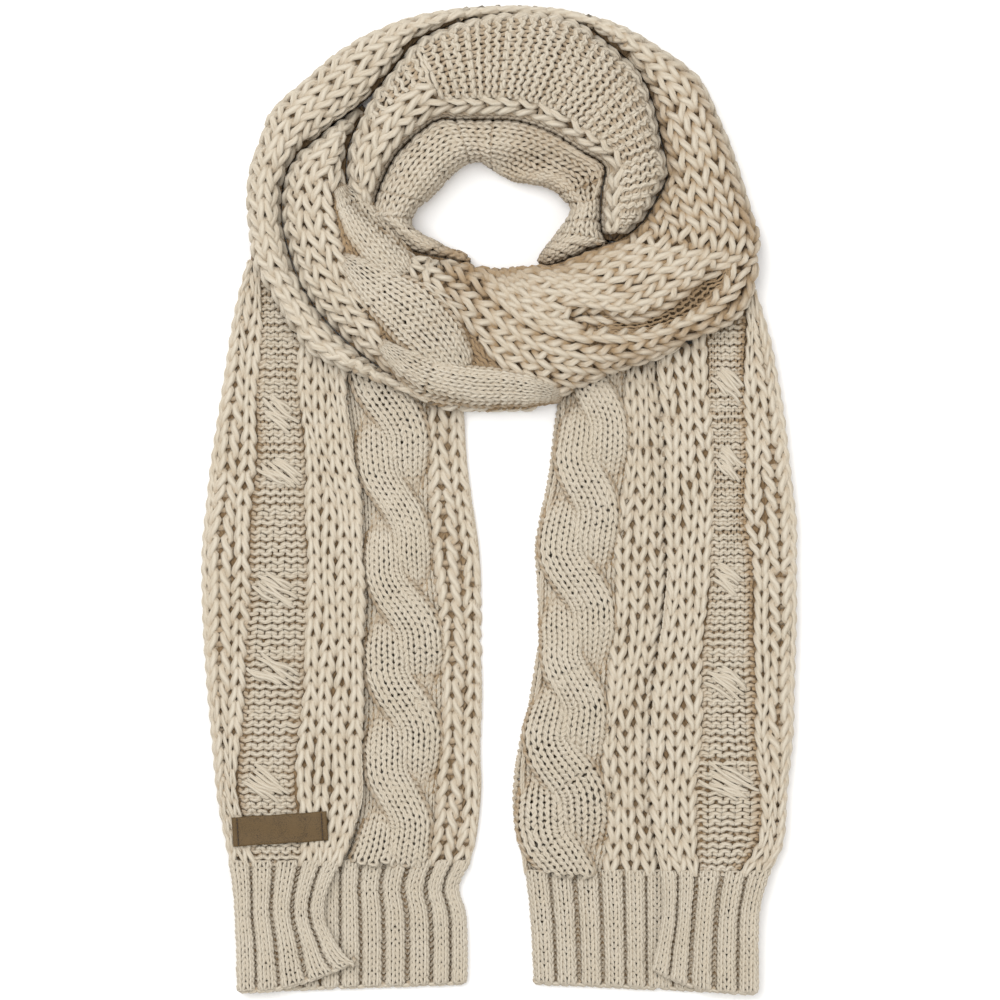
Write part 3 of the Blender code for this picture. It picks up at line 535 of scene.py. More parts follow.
def knit(yarn, grid, wales, kind, face=1, outward=(0, 0, 1), dip=1.8, sink=0.0, keep=None,
         shade=None, hold=None):
    # Loops on a grid. Along a row x = t + lean sin 4 pi t + pull sin 2 pi t, y = -tall/2 cos 2 pi t
    # and the height is depth cos 4 pi t, upside down on the purl side. Rows run across the grid's
    # first direction. The outer columns go down by dip and all of them by sink. Of the functions,
    # keep picks the loops that are made, shade adds painted shade to them by place and hold moves
    # their centres.
    gauge = gauges[kind]
    stray = gauge.get("stray", uneven["usual"])
    even, rows = evenRows(grid, gauge["course"])
    normals = facing(even, outward)
    width = np.linalg.norm(np.gradient(even, axis=0), axis=-1) * (even.shape[0] - 1) / wales
    t = np.linspace(0, wales, wales * gauge["points"] + 1)
    stitch = np.minimum(t.astype(int), wales - 1)

    def strayed(key, across):
        return dice.normal(0, uneven[key] * stray, (rows, across))

    lean = gauge["lean"] * (1 + strayed("lean", wales))[:, stitch]
    x = t[None] + lean * np.sin(4 * math.pi * t)[None]
    x = x + gauge["pull"] * np.sin(2 * math.pi * t)[None]
    tall = 1 + strayed("tall", wales)[:, stitch]
    y = -gauge["tall"] / 2 * tall * np.cos(2 * math.pi * t)[None]
    z = -face * gauge["depth"] * np.cos(4 * math.pi * t)
    row = np.arange(rows)[:, None] + 0.5
    u = x / wales + dice.normal(0, uneven["aside"] / wales, (rows, 1))
    v = (row + y + strayed("row", 1)) / rows
    fade = np.abs(2 * x / wales - 1) ** 4
    h = z[None] - sink - dip * fade + strayed("height", 1)
    local = lookUp(width[..., None], u, v)[..., 0] / gauge["wale"]
    thick = 1 + dice.normal(0, uneven["yarn"], (rows, wales))[:, stitch]
    radii = gauge["yarn"] * np.clip(local, 0.5, 0.97) * thick
    squeeze = np.clip(local, 0.5, 1.0)
    top = gauge["depth"] + gauge["yarn"]
    ups = unit(lookUp(normals, u, v))
    centres = lookUp(even, u, v) + ups * (h * squeeze - top * squeeze)[..., None]
    if hold is not None:
        centres = hold(centres, radii)
    centres[..., 2] = np.maximum(centres[..., 2], radii)
    # painted shade: the deeper a point of a loop lies, the darker its colour
    deep = np.clip((gauge["depth"] - h) / (2 * gauge["depth"]), 0, 1)
    if shade is not None:
        deep = np.clip(deep + shade(centres), 0, 1.3)
    if keep is None:
        yarn.add(centres, ups, radii, deep, gauge["sides"])
        return
    for wale in range(wales):
        span = slice(wale * gauge["points"], (wale + 1) * gauge["points"] + 1)
        good = keep(centres[:, span].mean(axis=1))
        if good.any():
            yarn.add(centres[good, span], ups[good, span], radii[good, span], deep[good, span],
                     gauge["sides"])


def evenShade(amount):
    # the same amount of painted shade everywhere, which takes painted shade away where it is below
    # 0
    return lambda spots: amount


def activeRuns(active, least):
    # first and last place of each stretch of true values that is at least so long
    edges = np.flatnonzero(np.diff(np.concatenate([[0], active.astype(int), [0]])))
    return [(a, b) for a, b in zip(edges[::2], edges[1::2]) if b - a >= least]


rimLow = 2.2  # how low the ribs go on the ring's outer side


def profiles(turns, stretch, outDrop, inDrop, rise, count=90):
    # Sections over a stretch, from down its outer side to down its inner one, at even distances
    # along: their points, their lengths, and the distance along of any reach across the top.
    turn = turns[:, None]
    outer, inner, _, outerSide, innerSide, _, over, outline = sides(turn, stretch, 0)
    outer = outer + np.where(outline, 0.0, cloth["bulge"])
    inner = inner - np.where(besideHole(turn, stretch), 0.0, cloth["bulge"])
    share = 0.5 - 0.5 * np.cos(np.linspace(0, math.pi, 60))[None]
    reach = outer - (outer - inner) * share
    top = topHeight(turn, reach, stretch) + rise * np.minimum(1, 8 * np.minimum(share, 1 - share))
    low = np.where(outline, rimLow + (outerSide - rimLow) * np.clip(over * lip["over"], 0, 1),
                   np.maximum(outerSide - outDrop, 2))
    last = np.maximum(innerSide - inDrop, 2)
    reach = np.concatenate([outer, outer, reach, inner], 1)
    height = np.concatenate([low, (low + outerSide) / 2, top, last], 1)
    step = np.hypot(np.diff(reach, axis=1), cloth["slopeShare"] * np.diff(height, axis=1))
    along = np.concatenate([0 * turn, np.cumsum(step, axis=1)], 1)
    points = np.empty((len(turns), count, 3))
    for k, (a, r, h) in enumerate(zip(along, reach, height)):
        spots = np.linspace(0, a[-1], count)
        points[k, :, 2] = np.interp(spots, a, h)
        points[k, :, :2] = planPoints(turns[k], np.interp(spots, a, r))

    def distance(reaches):
        # a section's top has reaches that fall, so they are turned over for the look-up
        spots = [np.interp(-r, -row[2:-1], a[2:-1]) for r, row, a in zip(reaches, reach, along)]
        return np.array(spots)

    return {"turns": turns, "points": points, "total": along[:, -1], "top": along[:, 2],
            "last": along[:, -2], "distance": distance}


def laneGrid(profile, a, b, high, low, across=5):
    # what lies between two distances along a profile's sections, from the section a to before b
    share = np.linspace(0, 1, across)[:, None]
    spot = high[a:b] + (low[a:b] - high[a:b]) * share + cloth["overlap"] * (2 * share - 1)
    spot = spot / profile["total"][a:b]
    row = np.arange(a, b) / (len(profile["turns"]) - 1) + 0 * spot
    return lookUp(profile["points"], row, spot)


def rimHeight(turn):
    # the height of the ring's outer side
    return np.interp(turn, *table(wrapHeights)[[0, 2]])


# yarn inside the ring's outline: the room beyond it, how far low yarn is drawn in and over which
# depth, and, at the back where the ring is narrow, how much and how far high yarn is
ringHold = {"room": 0.2, "tuck": 2.4, "tuckDepth": 5.0, "narrow": 16.0, "narrowFade": 6.0,
            "back": 60.0, "lean": 0.25, "leanMost": 2.0}


def insideRing(centres, radii):
    # The centres, none of them further out than the ring's outline less the yarn's radius, and
    # less the more they lie below the top of its outer side. Where the ring is narrow, what lies
    # above that is drawn in too.
    turn, reach = polar(centres)
    side = rimHeight((turn + 172) % 360 - 172)
    over = centres[..., 2] - side
    narrow = (ringHold["narrow"] - ringEdge(turn) + wrapInner(turn)) / ringHold["narrowFade"]
    narrow = np.clip(narrow, 0, 1) * (np.abs(turn) < ringHold["back"])
    tuck = ringHold["tuck"] * np.clip(-over / ringHold["tuckDepth"], 0, 1)
    tuck = tuck + narrow * np.clip(ringHold["lean"] * over, 0, ringHold["leanMost"])
    scale = np.minimum(1, (ringEdge(turn) + ringHold["room"] - radii - tuck) / reach)[..., None]
    plan = middle + (centres[..., :2] - middle) * scale
    return np.concatenate([plan, centres[..., 2:]], -1)


def lanes(yarn, profile, bounds, kind="ring", wales=1, least=0.3, dip=2.4, face=1, sink=0.0,
          shade=None):
    # columns of stitches between each two neighbouring bounds, wherever there is room for them
    wale = gauges[kind]["wale"] * wales
    for high, low in zip(bounds, bounds[1:]):
        high = np.clip(high, 0, profile["total"])
        low = np.clip(low, 0, profile["total"])
        for a, b in activeRuns(low - high > least * wale, 4):
            grid = laneGrid(profile, a, b, high, low, 5 if wales == 1 else 2 * wales + 3)
            knit(yarn, grid[:, ::-1], wales, kind, face=face, outward=-1, dip=dip, sink=sink,
                 shade=shade, hold=insideRing)


def steadyCounts(wanted, most, hold=9):
    # whole numbers near the wanted ones that stay the same for at least so many places
    counts = np.zeros(len(wanted), int)
    now, since = round(float(wanted[0])), 0
    for k, value in enumerate(wanted):
        since += 1
        if since > hold and abs(value - now) > 0.6:
            now, since = round(float(value)), 0
        counts[k] = np.clip(now, 1, most)
    return np.where(wanted > 0.3, counts, 0)


def fittedLanes(yarn, profile, high, low, kind, face=1, sink=0.0, shade=None):
    # a band of stitches whose number of columns changes with the room there is
    counts = steadyCounts((low - high) / gauges[kind]["wale"], 12)
    for count in range(1, counts.max() + 1):
        here = counts == count
        lanes(yarn, profile, [np.where(here, high, 0), np.where(here, low, 0)], kind=kind,
              wales=count, least=0.2, face=face, sink=sink, dip=0.6, shade=shade)


class Paint:
    # a material whose nodes are made, set and linked in short calls

    def __init__(self, name, settings):
        self.material = bpy.data.materials.new(name)
        self.material.use_nodes = True
        tree = self.material.node_tree
        self.nodes, self.links = tree.nodes, tree.links
        self.shader = self.nodes["Principled BSDF"]
        for key, value in settings.items():
            self.feed(self.shader.inputs[key], value)
        self.place = self.node("ShaderNodeTexCoord").outputs["Object"]

    def feed(self, socket, value):
        # another node's output is linked, and anything else is the socket's own value
        if isinstance(value, bpy.types.NodeSocket):
            self.links.new(value, socket)
        elif value is not None:
            socket.default_value = value

    def node(self, kind, inputs=None, **values):
        made = self.nodes.new(kind)
        for key, value in values.items():
            setattr(made, key, value)
        for key, value in (inputs or {}).items():
            self.feed(made.inputs[key], value)
        return made

    def math(self, operation, first, second=None):
        made = self.node("ShaderNodeMath", {0: first, 1: second}, operation=operation)
        return made.outputs[0]

    def add(self, first, second):
        return self.math("ADD", first, second)

    def times(self, first, second):
        return self.math("MULTIPLY", first, second)

    def wave(self, value):
        # |sin(pi value)|
        return self.math("ABSOLUTE", self.math("SINE", self.times(value, math.pi)))

    def noise(self, scale, detail=2.0, place=None):
        inputs = {"Vector": place or self.place, "Scale": scale, "Detail": detail}
        return self.node("ShaderNodeTexNoise", inputs).outputs[0]

    def blend(self, share, first, second):
        made = self.node("ShaderNodeMix", {0: share, 6: first, 7: second}, data_type="RGBA")
        return made.outputs[2]

    def spread(self, value, low, high):
        # 0 to 1 between low and high
        inputs = {"Value": value, "From Min": low, "From Max": high}
        return self.node("ShaderNodeMapRange", inputs).outputs[0]

    def ramp(self, value, low, high, start=0.0):
        made = self.node("ShaderNodeValToRGB", {0: value})
        made.color_ramp.elements[0].position = start
        for element, colour in zip(made.color_ramp.elements, (low, high)):
            element.color = colour
        return made.outputs[0]

    def finish(self, colour, height=None, strength=0.8, distance=0.001):
        self.feed(self.shader.inputs["Base Color"], colour)
        if height is not None:
            inputs = {"Strength": strength, "Distance": distance, "Height": height}
            bump = self.node("ShaderNodeBump", inputs)
            self.feed(self.shader.inputs["Normal"], bump.outputs[0])
        return self.material


def yarnMaterial(name, light, shade, deepest, plyTurns):
    # plied yarn: a wave of u + v for the plies, long fibres along them, a tone mixed at random
    # between the light and the shade colour, painted shade in the plies' grooves, and painted shade
    # towards the deepest colour by the deep attribute
    paint = Paint(name, {"Roughness": 0.88, "Specular IOR Level": 0.22, "Sheen Weight": 0.18,
                         "Sheen Roughness": 0.55, "Sheen Tint": (1.0, 0.95, 0.86, 1)})
    yarnUv = paint.node("ShaderNodeUVMap", uv_map="yarn").outputs[0]
    along, around = paint.node("ShaderNodeSeparateXYZ", {0: yarnUv}).outputs[:2]
    turned = paint.add(paint.times(along, plyTurns), paint.times(around, 3.0))
    ply = paint.wave(turned)
    stretched = paint.node("ShaderNodeCombineXYZ", {0: paint.times(along, 0.25),
                                                    1: paint.times(turned, 2.2)}).outputs[0]
    fibres = paint.noise(4.0, 3.0, stretched)
    fuzz = paint.noise(1400.0)
    drift = paint.noise(55.0, 3.0)
    deep = paint.node("ShaderNodeAttribute", attribute_name="deep").outputs["Fac"]
    tone = paint.add(paint.times(fibres, 0.5), paint.times(drift, 0.5))
    body = paint.blend(paint.spread(tone, 0.38, 0.62), shade, light)
    # painted shade: the plies' grooves are coloured towards the deepest colour
    plyGrooveShade = paint.times(paint.math("SUBTRACT", 1.0, ply), 0.24)
    # painted shade: the deep attribute mixes the yarn towards the deepest colour
    paintedShadeShare = paint.times(paint.math("POWER", deep, 1.6), 0.6)
    colour = paint.blend(paintedShadeShare, paint.blend(plyGrooveShade, body, deepest), deepest)
    height = paint.add(paint.times(ply, 0.6),
                       paint.add(paint.times(fibres, 0.5), paint.times(fuzz, 0.35)))
    return paint.finish(colour, height, distance=0.0008)


def groundMaterial():
    # the backing between and under the stitches: small V stitches drawn with two slanting waves,
    # with painted shade in their valleys and a painted shade colour on the backing's underside
    paint = Paint("knit ground", {"Roughness": 0.92, "Specular IOR Level": 0.15,
                                  "Sheen Weight": 0.1})
    x, y, z = paint.node("ShaderNodeSeparateXYZ", {0: paint.place}).outputs[:3]
    across = paint.math("PINGPONG", paint.times(x, 1 / 0.0065), 0.5)
    slant = paint.add(paint.times(y, 1 / 0.0048), paint.times(across, 1.3))
    legs = paint.math("ABSOLUTE", paint.math("SINE", paint.times(across, 2 * math.pi)))
    stitch = paint.times(paint.wave(slant), legs)
    # painted shade: the dark colour for the backing's underside near the floor
    dark = paint.blend(paint.noise(220.0), (0.21, 0.135, 0.068, 1), (0.32, 0.22, 0.125, 1))
    # the stitches' valleys take the darker colour, as painted shade
    knitted = paint.blend(stitch, (0.40, 0.30, 0.18, 1), (0.80, 0.71, 0.56, 1))
    under = paint.spread(z, 0.0022, 0.0012)  # 1 on the underside
    return paint.finish(paint.blend(under, dark, knitted), stitch, distance=0.0015)


def labelMaterial():
    # imitation leather: brown mottling and a fine pebbled grain as bump
    paint = Paint("brown imitation leather", {"Roughness": 0.62, "Specular IOR Level": 0.35})
    grain = paint.node("ShaderNodeTexVoronoi", {"Vector": paint.place, "Scale": 1500.0})
    grain = grain.outputs["Distance"]
    colour = paint.ramp(paint.add(paint.noise(140.0, 5.0), grain), (0.030, 0.018, 0.006, 1),
                        (0.108, 0.065, 0.023, 1), start=0.5)
    return paint.finish(colour, grain, 0.5, 0.0003)


def threadMaterial():
    paint = Paint("dark thread", {"Roughness": 0.8})
    return paint.finish(paint.ramp(paint.noise(900.0), (0.02, 0.013, 0.009, 1),
                                   (0.07, 0.045, 0.03, 1)))


# a paler and a darker yarn colour, mixed at random, the painted shade colour that the yarn
# takes deep between the loops, and the plies' turns a millimetre
oatmeal = yarnMaterial("oatmeal yarn", (0.605, 0.547, 0.452, 1), (0.56, 0.497, 0.395, 1),
                       (0.33, 0.22, 0.115, 1), 0.07)
ground = groundMaterial()


def quadPiece(name, points, quads, material):
    corners = quads.ravel()
    starts = np.arange(len(quads)) * 4
    uv = points[corners][:, :2] * mm
    return newMesh(name, points, corners, starts, uv, np.ones(len(points)), material)


def loft(rows, count):
    # the numbers of points in closed rings, the same one place on, and the faces between rings
    index = np.arange(rows * count).reshape(rows, count)
    turned = np.roll(index, -1, axis=1)
    walls = np.stack([index[:-1], turned[:-1], turned[1:], index[1:]], -1)
    return index, turned, walls.reshape(-1, 4)


def hollowShell(name, outside, inside, node):
    # two closed tubes, one in the other, whose ends are joined by rings of faces
    rows, count = outside.shape[:2]
    index, turned, wall = loft(rows, count)
    shift = rows * count
    start = np.stack([turned[0], index[0], index[0] + shift, turned[0] + shift], -1)
    end = np.stack([index[-1], turned[-1], turned[-1] + shift, index[-1] + shift], -1)
    points = np.concatenate([outside.reshape(-1, 3), inside.reshape(-1, 3)])
    quads = np.concatenate([wall, wall[:, ::-1] + shift, start, end])
    section = outside[rows // 2]
    normal = np.cross(section[1] - section[0], outside[rows // 2 + 1][0] - section[0])
    if np.dot(normal, section[0] - section.mean(axis=0)) < 0:
        quads = quads[:, ::-1]
    piece = quadPiece(name, points, quads, ground)
    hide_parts(node)
    return piece


def ringShell(name, stretch, first, last, node):
    # the backing of one stretch, closed round its section, and the size that it opens out to
    turns = np.linspace(first, last, max(12, round((last - first) / 3)))
    walls = []
    for inset, low in ((cloth["ground"], 0.0),
                       (cloth["ground"] + cloth["backing"], cloth["backing"])):
        reach, height = sectionLoops(turns, stretch, inset, low)
        plan = planPoints(turns[:, None] + 0 * reach, reach)
        walls.append(np.concatenate([plan, height[..., None]], -1))
    piece = hollowShell(name, walls[0], walls[1], node)
    loops = np.linalg.norm(np.roll(walls[0], -1, axis=1) - walls[0], axis=-1).sum(axis=1)
    centre = walls[0].mean(axis=1)
    length = np.linalg.norm(np.diff(centre, axis=0), axis=1).sum()
    return piece, (float(loops.mean()) * mm, float(length) * mm)


print("ring backing")
wrap, collar, neck = stretches["wrap"], stretches["collar"], stretches["neck"]
backShell, backFlat = ringShell("backWrapCloth", wrap, wrapStarts, wrapSplit - splitGap,
                                "back_wrap")
frontShell, frontFlat = ringShell("frontWrapCloth", wrap, wrapSplit + splitGap, wrapEnds,
                                  "front_wrap")
collarShell, collarFlat = ringShell("backCollarCloth", collar, collarStarts, collarEnds,
                                    "back_collar")
neckShell, neckFlat = ringShell("neckBandCloth", neck, neckStarts, neckEnds, "neck_band")

# the long wrap's columns of ribs; a table has rows of turn and value
wrapRibs = {
    "creaseGap": 1.6,  # how far the columns stay from the long crease
    "creaseColumns": 3,  # between the cable and the long crease
    "columns": 13,  # inside the crease, as far as there is room
    "outerColumns": 6,  # outside the cable, as far as there is room
    "firstOut": 3.0,  # how far the outermost one begins down the side
    "wander": 0.7,  # how far a column strays to either side, in millimetres
    "drop": 9.0,  # how far the columns go down the outer side
    "innerDrop": [(-75, 9.0), (-60, 0.5), (35, 0.5), (50, 9.0)],
    "cableOut": [(215, 0), (228, 6), (265, 6), (285, 0)],  # the cable's edges, drawn in
    "cableIn": [(156, 0), (166, 9), (180, 15), (195, 13), (222, 8), (245, 0)],
    "hollow": [(101, 0), (105, 3), (109, 6.5), (114, 5.5), (120, 3), (127, 1.2), (140, 0)],
    "hollowTurns": (100, 134),  # deep in the hollow the purl side shows
    "hollowSide": 4.0,
    "hollowSink": 3.2,
    "standing": [(-170, -166), (-87, 87), (166, 189)],  # turns of the column on the outer side
    "standingIn": 0.6,
    "standingFoot": 0.8,
    "standingDown": 1.0,  # how far it stays below the top of that side
    # standingShade takes painted shade off that column
    "standingShade": -0.6,
}
# how much painted shade parts of the wrap get, and from where and over which distance
wrapPaintedShade = {"front": 0.2, "inner": 0.25, "innerFrom": 0.72, "crease": 0.4, "creaseWidth": 4.0,
            "right": 0.15, "low": 0.9, "lowFrom": 2.7, "lowFade": 4.0, "rim": 5.0}
print("wrap ribs")
wrapTurns = np.arange(wrapStarts + 0.5, wrapEnds - 1.0, turnStep)
wrapProfile = profiles(wrapTurns, wrap, wrapRibs["drop"],
                       valueAt(wrapTurns, wrapRibs["innerDrop"])[:, None], cloth["ribRise"])
edge = wrapProfile["top"]
distance = wrapProfile["distance"]
# before its first turn an edge lies past the outer side, and after its last past the inner one
cableOutAt, cableInAt, creaseAt = [distance(np.interp(wrapTurns, *run, left=1e3, right=0))
                                   for run in (cableOutRun, cableInRun, creaseRun)]
cableOutAt = np.clip(cableOutAt + valueAt(wrapTurns, wrapRibs["cableOut"]), edge,
                     wrapProfile["last"])
cableInAt = np.maximum(cableInAt - valueAt(wrapTurns, wrapRibs["cableIn"]), cableOutAt)
creaseAt = np.maximum(creaseAt, cableInAt)


def wander(turns, k):
    # two sines of the turn, multiplied
    return wrapRibs["wander"] * np.sin(turns / 8.5 + 2.1 * k) * np.sin(turns / 23 + k)


def wrapShade(spots):
    # Painted shade: darker on the part that lies in front, near its inner side and along the
    # crease, darker on the right, and darker below the crests, but not on the ring's rim.
    bare, reach = polar(spots)
    right = valueAt(bare, [(30, 0), (60, 1), (85, 1), (100, 0)])
    turn = np.where(bare < 85, bare + 360, bare)
    crest = topHeight(np.where(right > 0, bare, turn), reach, wrap) + cloth["ribRise"]
    low = np.clip((crest - spots[..., 2] - wrapPaintedShade["lowFrom"]) / wrapPaintedShade["lowFade"], 0, 1)
    low = wrapPaintedShade["low"] * low * np.clip((ringEdge(bare) - reach - 3) / 5, 0, 1)
    inner, outer = wrapInner(turn), wrapOuter(turn)
    onTop = (reach < outer) & (turn < wrapEnds)
    share = np.clip((outer - reach) / np.maximum(outer - inner, 1), 0, 1)
    near = np.exp(-((reach - np.interp(turn, *creaseRun)) / wrapPaintedShade["creaseWidth"]) ** 2)
    near = near * (turn < creaseRun[0][-1])
    front = valueAt(turn, [(85, 0.5), (105, 1), (205, 1), (230, 0)])
    inside = np.clip((share - wrapPaintedShade["innerFrom"]) / (1 - wrapPaintedShade["innerFrom"]), 0, 1)
    # the painted shade's amount by place
    amount = (wrapPaintedShade["front"] + low) * front + wrapPaintedShade["crease"] * near
    amount = amount + wrapPaintedShade["inner"] * inside * front
    rim = (np.abs(bare) < 70) * np.clip((wrapPaintedShade["rim"] + reach - ringEdge(bare)) / 2, 0, 1)
    return np.where(onTop, amount, 0) + (wrapPaintedShade["right"] + low) * right - rim


# inside the long crease the first column is parted from the next by a hollow
wrapYarn = Yarn()
pitch = cloth["ribPitch"]
pocketAt = distance(np.interp(wrapTurns, *reachByTurn(frontPocket[::-1], 104)))
nearPocket = valueAt(wrapTurns, [(99, 0), (106, 1), (124, 1), (154, 0)])
firstBound = creaseAt + pitch
firstBound = firstBound + (pocketAt - firstBound) * nearPocket
hollow = valueAt(wrapTurns, wrapRibs["hollow"])
cut = valueAt(wrapTurns, [(98, 0), (106, wrapRibs["creaseGap"])])
firstEdge = np.where(wrapTurns < 99, 0, creaseAt + cut)
firstEnd = np.where(wrapTurns < -163, firstEdge, firstBound - hollow / 2)
lanes(wrapYarn, wrapProfile, [firstEdge, firstEnd], shade=wrapShade)
lanes(wrapYarn, wrapProfile,
      [firstBound + hollow / 2 + pitch * k + wander(wrapTurns, k)
       for k in range(wrapRibs["columns"])], shade=wrapShade)
lanes(wrapYarn, wrapProfile,
      [np.minimum(edge - wrapRibs["firstOut"] + pitch * k + wander(wrapTurns, k), cableOutAt)
       for k in range(wrapRibs["outerColumns"])], shade=wrapShade)
count = wrapRibs["creaseColumns"]
wider = np.maximum((creaseAt - cableInAt) / count, pitch) - pitch
wider = pitch + wider * valueAt(wrapTurns, [(138, 1), (154, 0)])
lanes(wrapYarn, wrapProfile,
      [np.maximum(creaseAt - cut - wider * k, cableInAt) for k in range(count + 2, -1, -1)],
      least=0.25, shade=wrapShade)
first, last = wrapRibs["hollowTurns"]
inHollow = (wrapTurns > first) & (wrapTurns < last)
# the hollow's purl-side loops get painted shade
lanes(wrapYarn, wrapProfile,
      [np.where(inHollow, firstBound - hollow / 2 - wrapRibs["hollowSide"], 0),
       np.where(inHollow, firstBound + hollow / 2 + wrapRibs["hollowSide"], 0)],
      kind="band", wales=4, least=0.2, sink=wrapRibs["hollowSink"], shade=evenShade(1.0))
# one column stands on the ring's outer side, wherever no end passes below it
for first, last in wrapRibs["standing"]:
    turns = np.arange(first, last + 1, turnStep)
    tall = rimHeight(turns) - wrapRibs["standingDown"] - wrapRibs["standingFoot"]
    heights = wrapRibs["standingFoot"] + tall * np.linspace(0, 1, 5)[:, None]
    plan = planPoints(turns, ringEdge(turns) - wrapRibs["standingIn"])
    grid = np.concatenate([np.broadcast_to(plan, heights.shape + (2,)), heights[..., None]], -1)
    knit(wrapYarn, grid[:, ::-1], 1, "ring", outward=-1, dip=0.4,
         shade=evenShade(wrapRibs["standingShade"]))
wrapPiece = knitPiece("wrapRibs", wrapYarn, oatmeal)

# the front cable, its bed and its three bends; a bend is a centre line of x, y, half width
frontCable = {
    "strandWales": 7,
    "rise": 5.8,
    "fall": 12.0,  # how far a bend's sides and ends go down
    "bedSink": 3.4,
    # painted shade: on the bed, and on the bends below their tops from darkFrom over darkFade, less
    # lighter
    "bedShade": 1.1,
    "darkFrom": 3.6,
    "darkFade": 7.0,
    "lighter": 0.1,
    "bends": [
        [(-97, 190, 6), (-89, 178, 13), (-80, 163, 17), (-69, 149, 18), (-61, 139.5, 15),
         (-55, 132, 9)],
        [(-96, 146, 5), (-86, 138, 12), (-73, 127, 19), (-56, 114, 24), (-41, 99, 24),
         (-28, 84, 18), (-21, 73, 9)],
        [(-74, 97, 4), (-63, 86, 10), (-45, 74, 17), (-20, 68, 17), (6, 66.5, 15.5), (27, 64, 10),
         (38, 61, 5)],
    ],
}
print("front cable")
cableYarn = Yarn()
front = wrapTurns > 150
fittedLanes(cableYarn, wrapProfile, np.where(front, cableOutAt, 0), np.where(front, cableInAt, 0),
            "lobe", sink=frontCable["bedSink"], shade=evenShade(frontCable["bedShade"]))


def bendTop(plan):
    # the height of the bends' tops over points on the page
    turn, reach = polar(plan)
    return topHeight(turn % 360, reach, wrap)


def lobeShade(spots):
    # painted shade, darker with depth below the bends' tops
    down = bendTop(spots) + frontCable["rise"] - spots[..., 2] - frontCable["darkFrom"]
    return np.clip(down / frontCable["darkFade"], 0, 1) - frontCable["lighter"]


def strip(line, share):
    # points across a line of x, y and half width, at shares from -1 to 1 of that width
    heading = unit(np.gradient(line[:, :2], axis=0))
    across = np.stack([-heading[:, 1], heading[:, 0]], -1)
    return line[None, :, :2] + across[None] * line[None, :, 2:] * share[:, None, None]


for line in frontCable["bends"]:
    run = smoothRun(line, 8)
    share = np.linspace(-1, 1, 13)
    plan = strip(run, share)
    toEnd = np.abs(np.linspace(-1, 1, len(run)))[None]
    fall = frontCable["fall"] * np.abs(share[:, None]) ** 5 + frontCable["fall"] * toEnd**6
    height = bendTop(plan) - fall + frontCable["rise"]
    grid = np.concatenate([plan, height[..., None]], -1)
    knit(cableYarn, grid[:, ::-1], frontCable["strandWales"], "lobe", shade=lobeShade)
frontCablePiece = knitPiece("frontCable", cableYarn, oatmeal)

# the collar: a purl band, columns of ribs along its inner edge and a rope-like outer edge; each
# further column of ribs ends at an earlier turn
collarKnit = {"edge": 7.5, "ribWidth": 12.5, "ropeOver": -2.5, "ribEnds": (999, -22, -47),
              "drop": 7.0, "innerDrop": 9.0, "rise": 0.8}
print("collar")
collarTurns = np.arange(collarStarts + 1, collarEnds - 1.5, turnStep)
collarProfile = profiles(collarTurns, collar, collarKnit["drop"], collarKnit["innerDrop"],
                         collarKnit["rise"])
collarYarn = Yarn()
purlHigh = collarProfile["top"] + collarKnit["edge"]
ropeHigh = collarProfile["last"] + collarKnit["ropeOver"]
lanes(collarYarn, collarProfile, [np.zeros(len(collarTurns)), purlHigh], least=0.2)
lanes(collarYarn, collarProfile, [ropeHigh, collarProfile["total"]], kind="lobe", wales=2,
      least=0.2, sink=1.0, dip=1.8)
purlLow = ropeHigh
for k, until in enumerate(collarKnit["ribEnds"]):
    high = np.maximum(ropeHigh - collarKnit["ribWidth"] * (k + 1), purlHigh)
    low = np.maximum(ropeHigh - collarKnit["ribWidth"] * k, purlHigh)
    here = collarTurns < until
    purlLow = np.where(here, high, purlLow)
    lanes(collarYarn, collarProfile, [np.where(here, high, low), low])
fittedLanes(collarYarn, collarProfile, purlHigh, np.maximum(purlLow, purlHigh), "band", face=-1)
collarPiece = knitPiece("collarKnit", collarYarn, oatmeal)

# the neck band, and the painted shade that makes it darker, by turn, where it goes down into the
# folds
neckKnit = {
    "drop": 6.0,
    "innerDrop": 30.0,
    "rise": 0.5,
    "dark": [(-156, 1.15), (-128, 1.05), (-112, 0.4), (-90, 0.1), (-30, 0.05), (5, 0.15),
             (30, 0.5), (60, 0.45), (85, 0.1), (105, 0.2), (118, 0.55), (129, 0.8)],
}
print("neck band")
neckTurns = np.arange(neckStarts + 1, neckEnds - 1, turnStep)
neckProfile = profiles(neckTurns, neck, neckKnit["drop"], neckKnit["innerDrop"], neckKnit["rise"])
neckYarn = Yarn()


def neckShade(spots):
    # painted shade by turn
    return valueAt(polar(spots)[0], neckKnit["dark"])


fittedLanes(neckYarn, neckProfile, np.zeros(len(neckTurns)), neckProfile["last"], "lobe",
            shade=neckShade)
lanes(neckYarn, neckProfile, [neckProfile["last"], neckProfile["total"]], kind="lobe", wales=2,
      least=0.15, dip=1.8, shade=neckShade)
neckPiece = knitPiece("neckKnit", neckYarn, oatmeal)

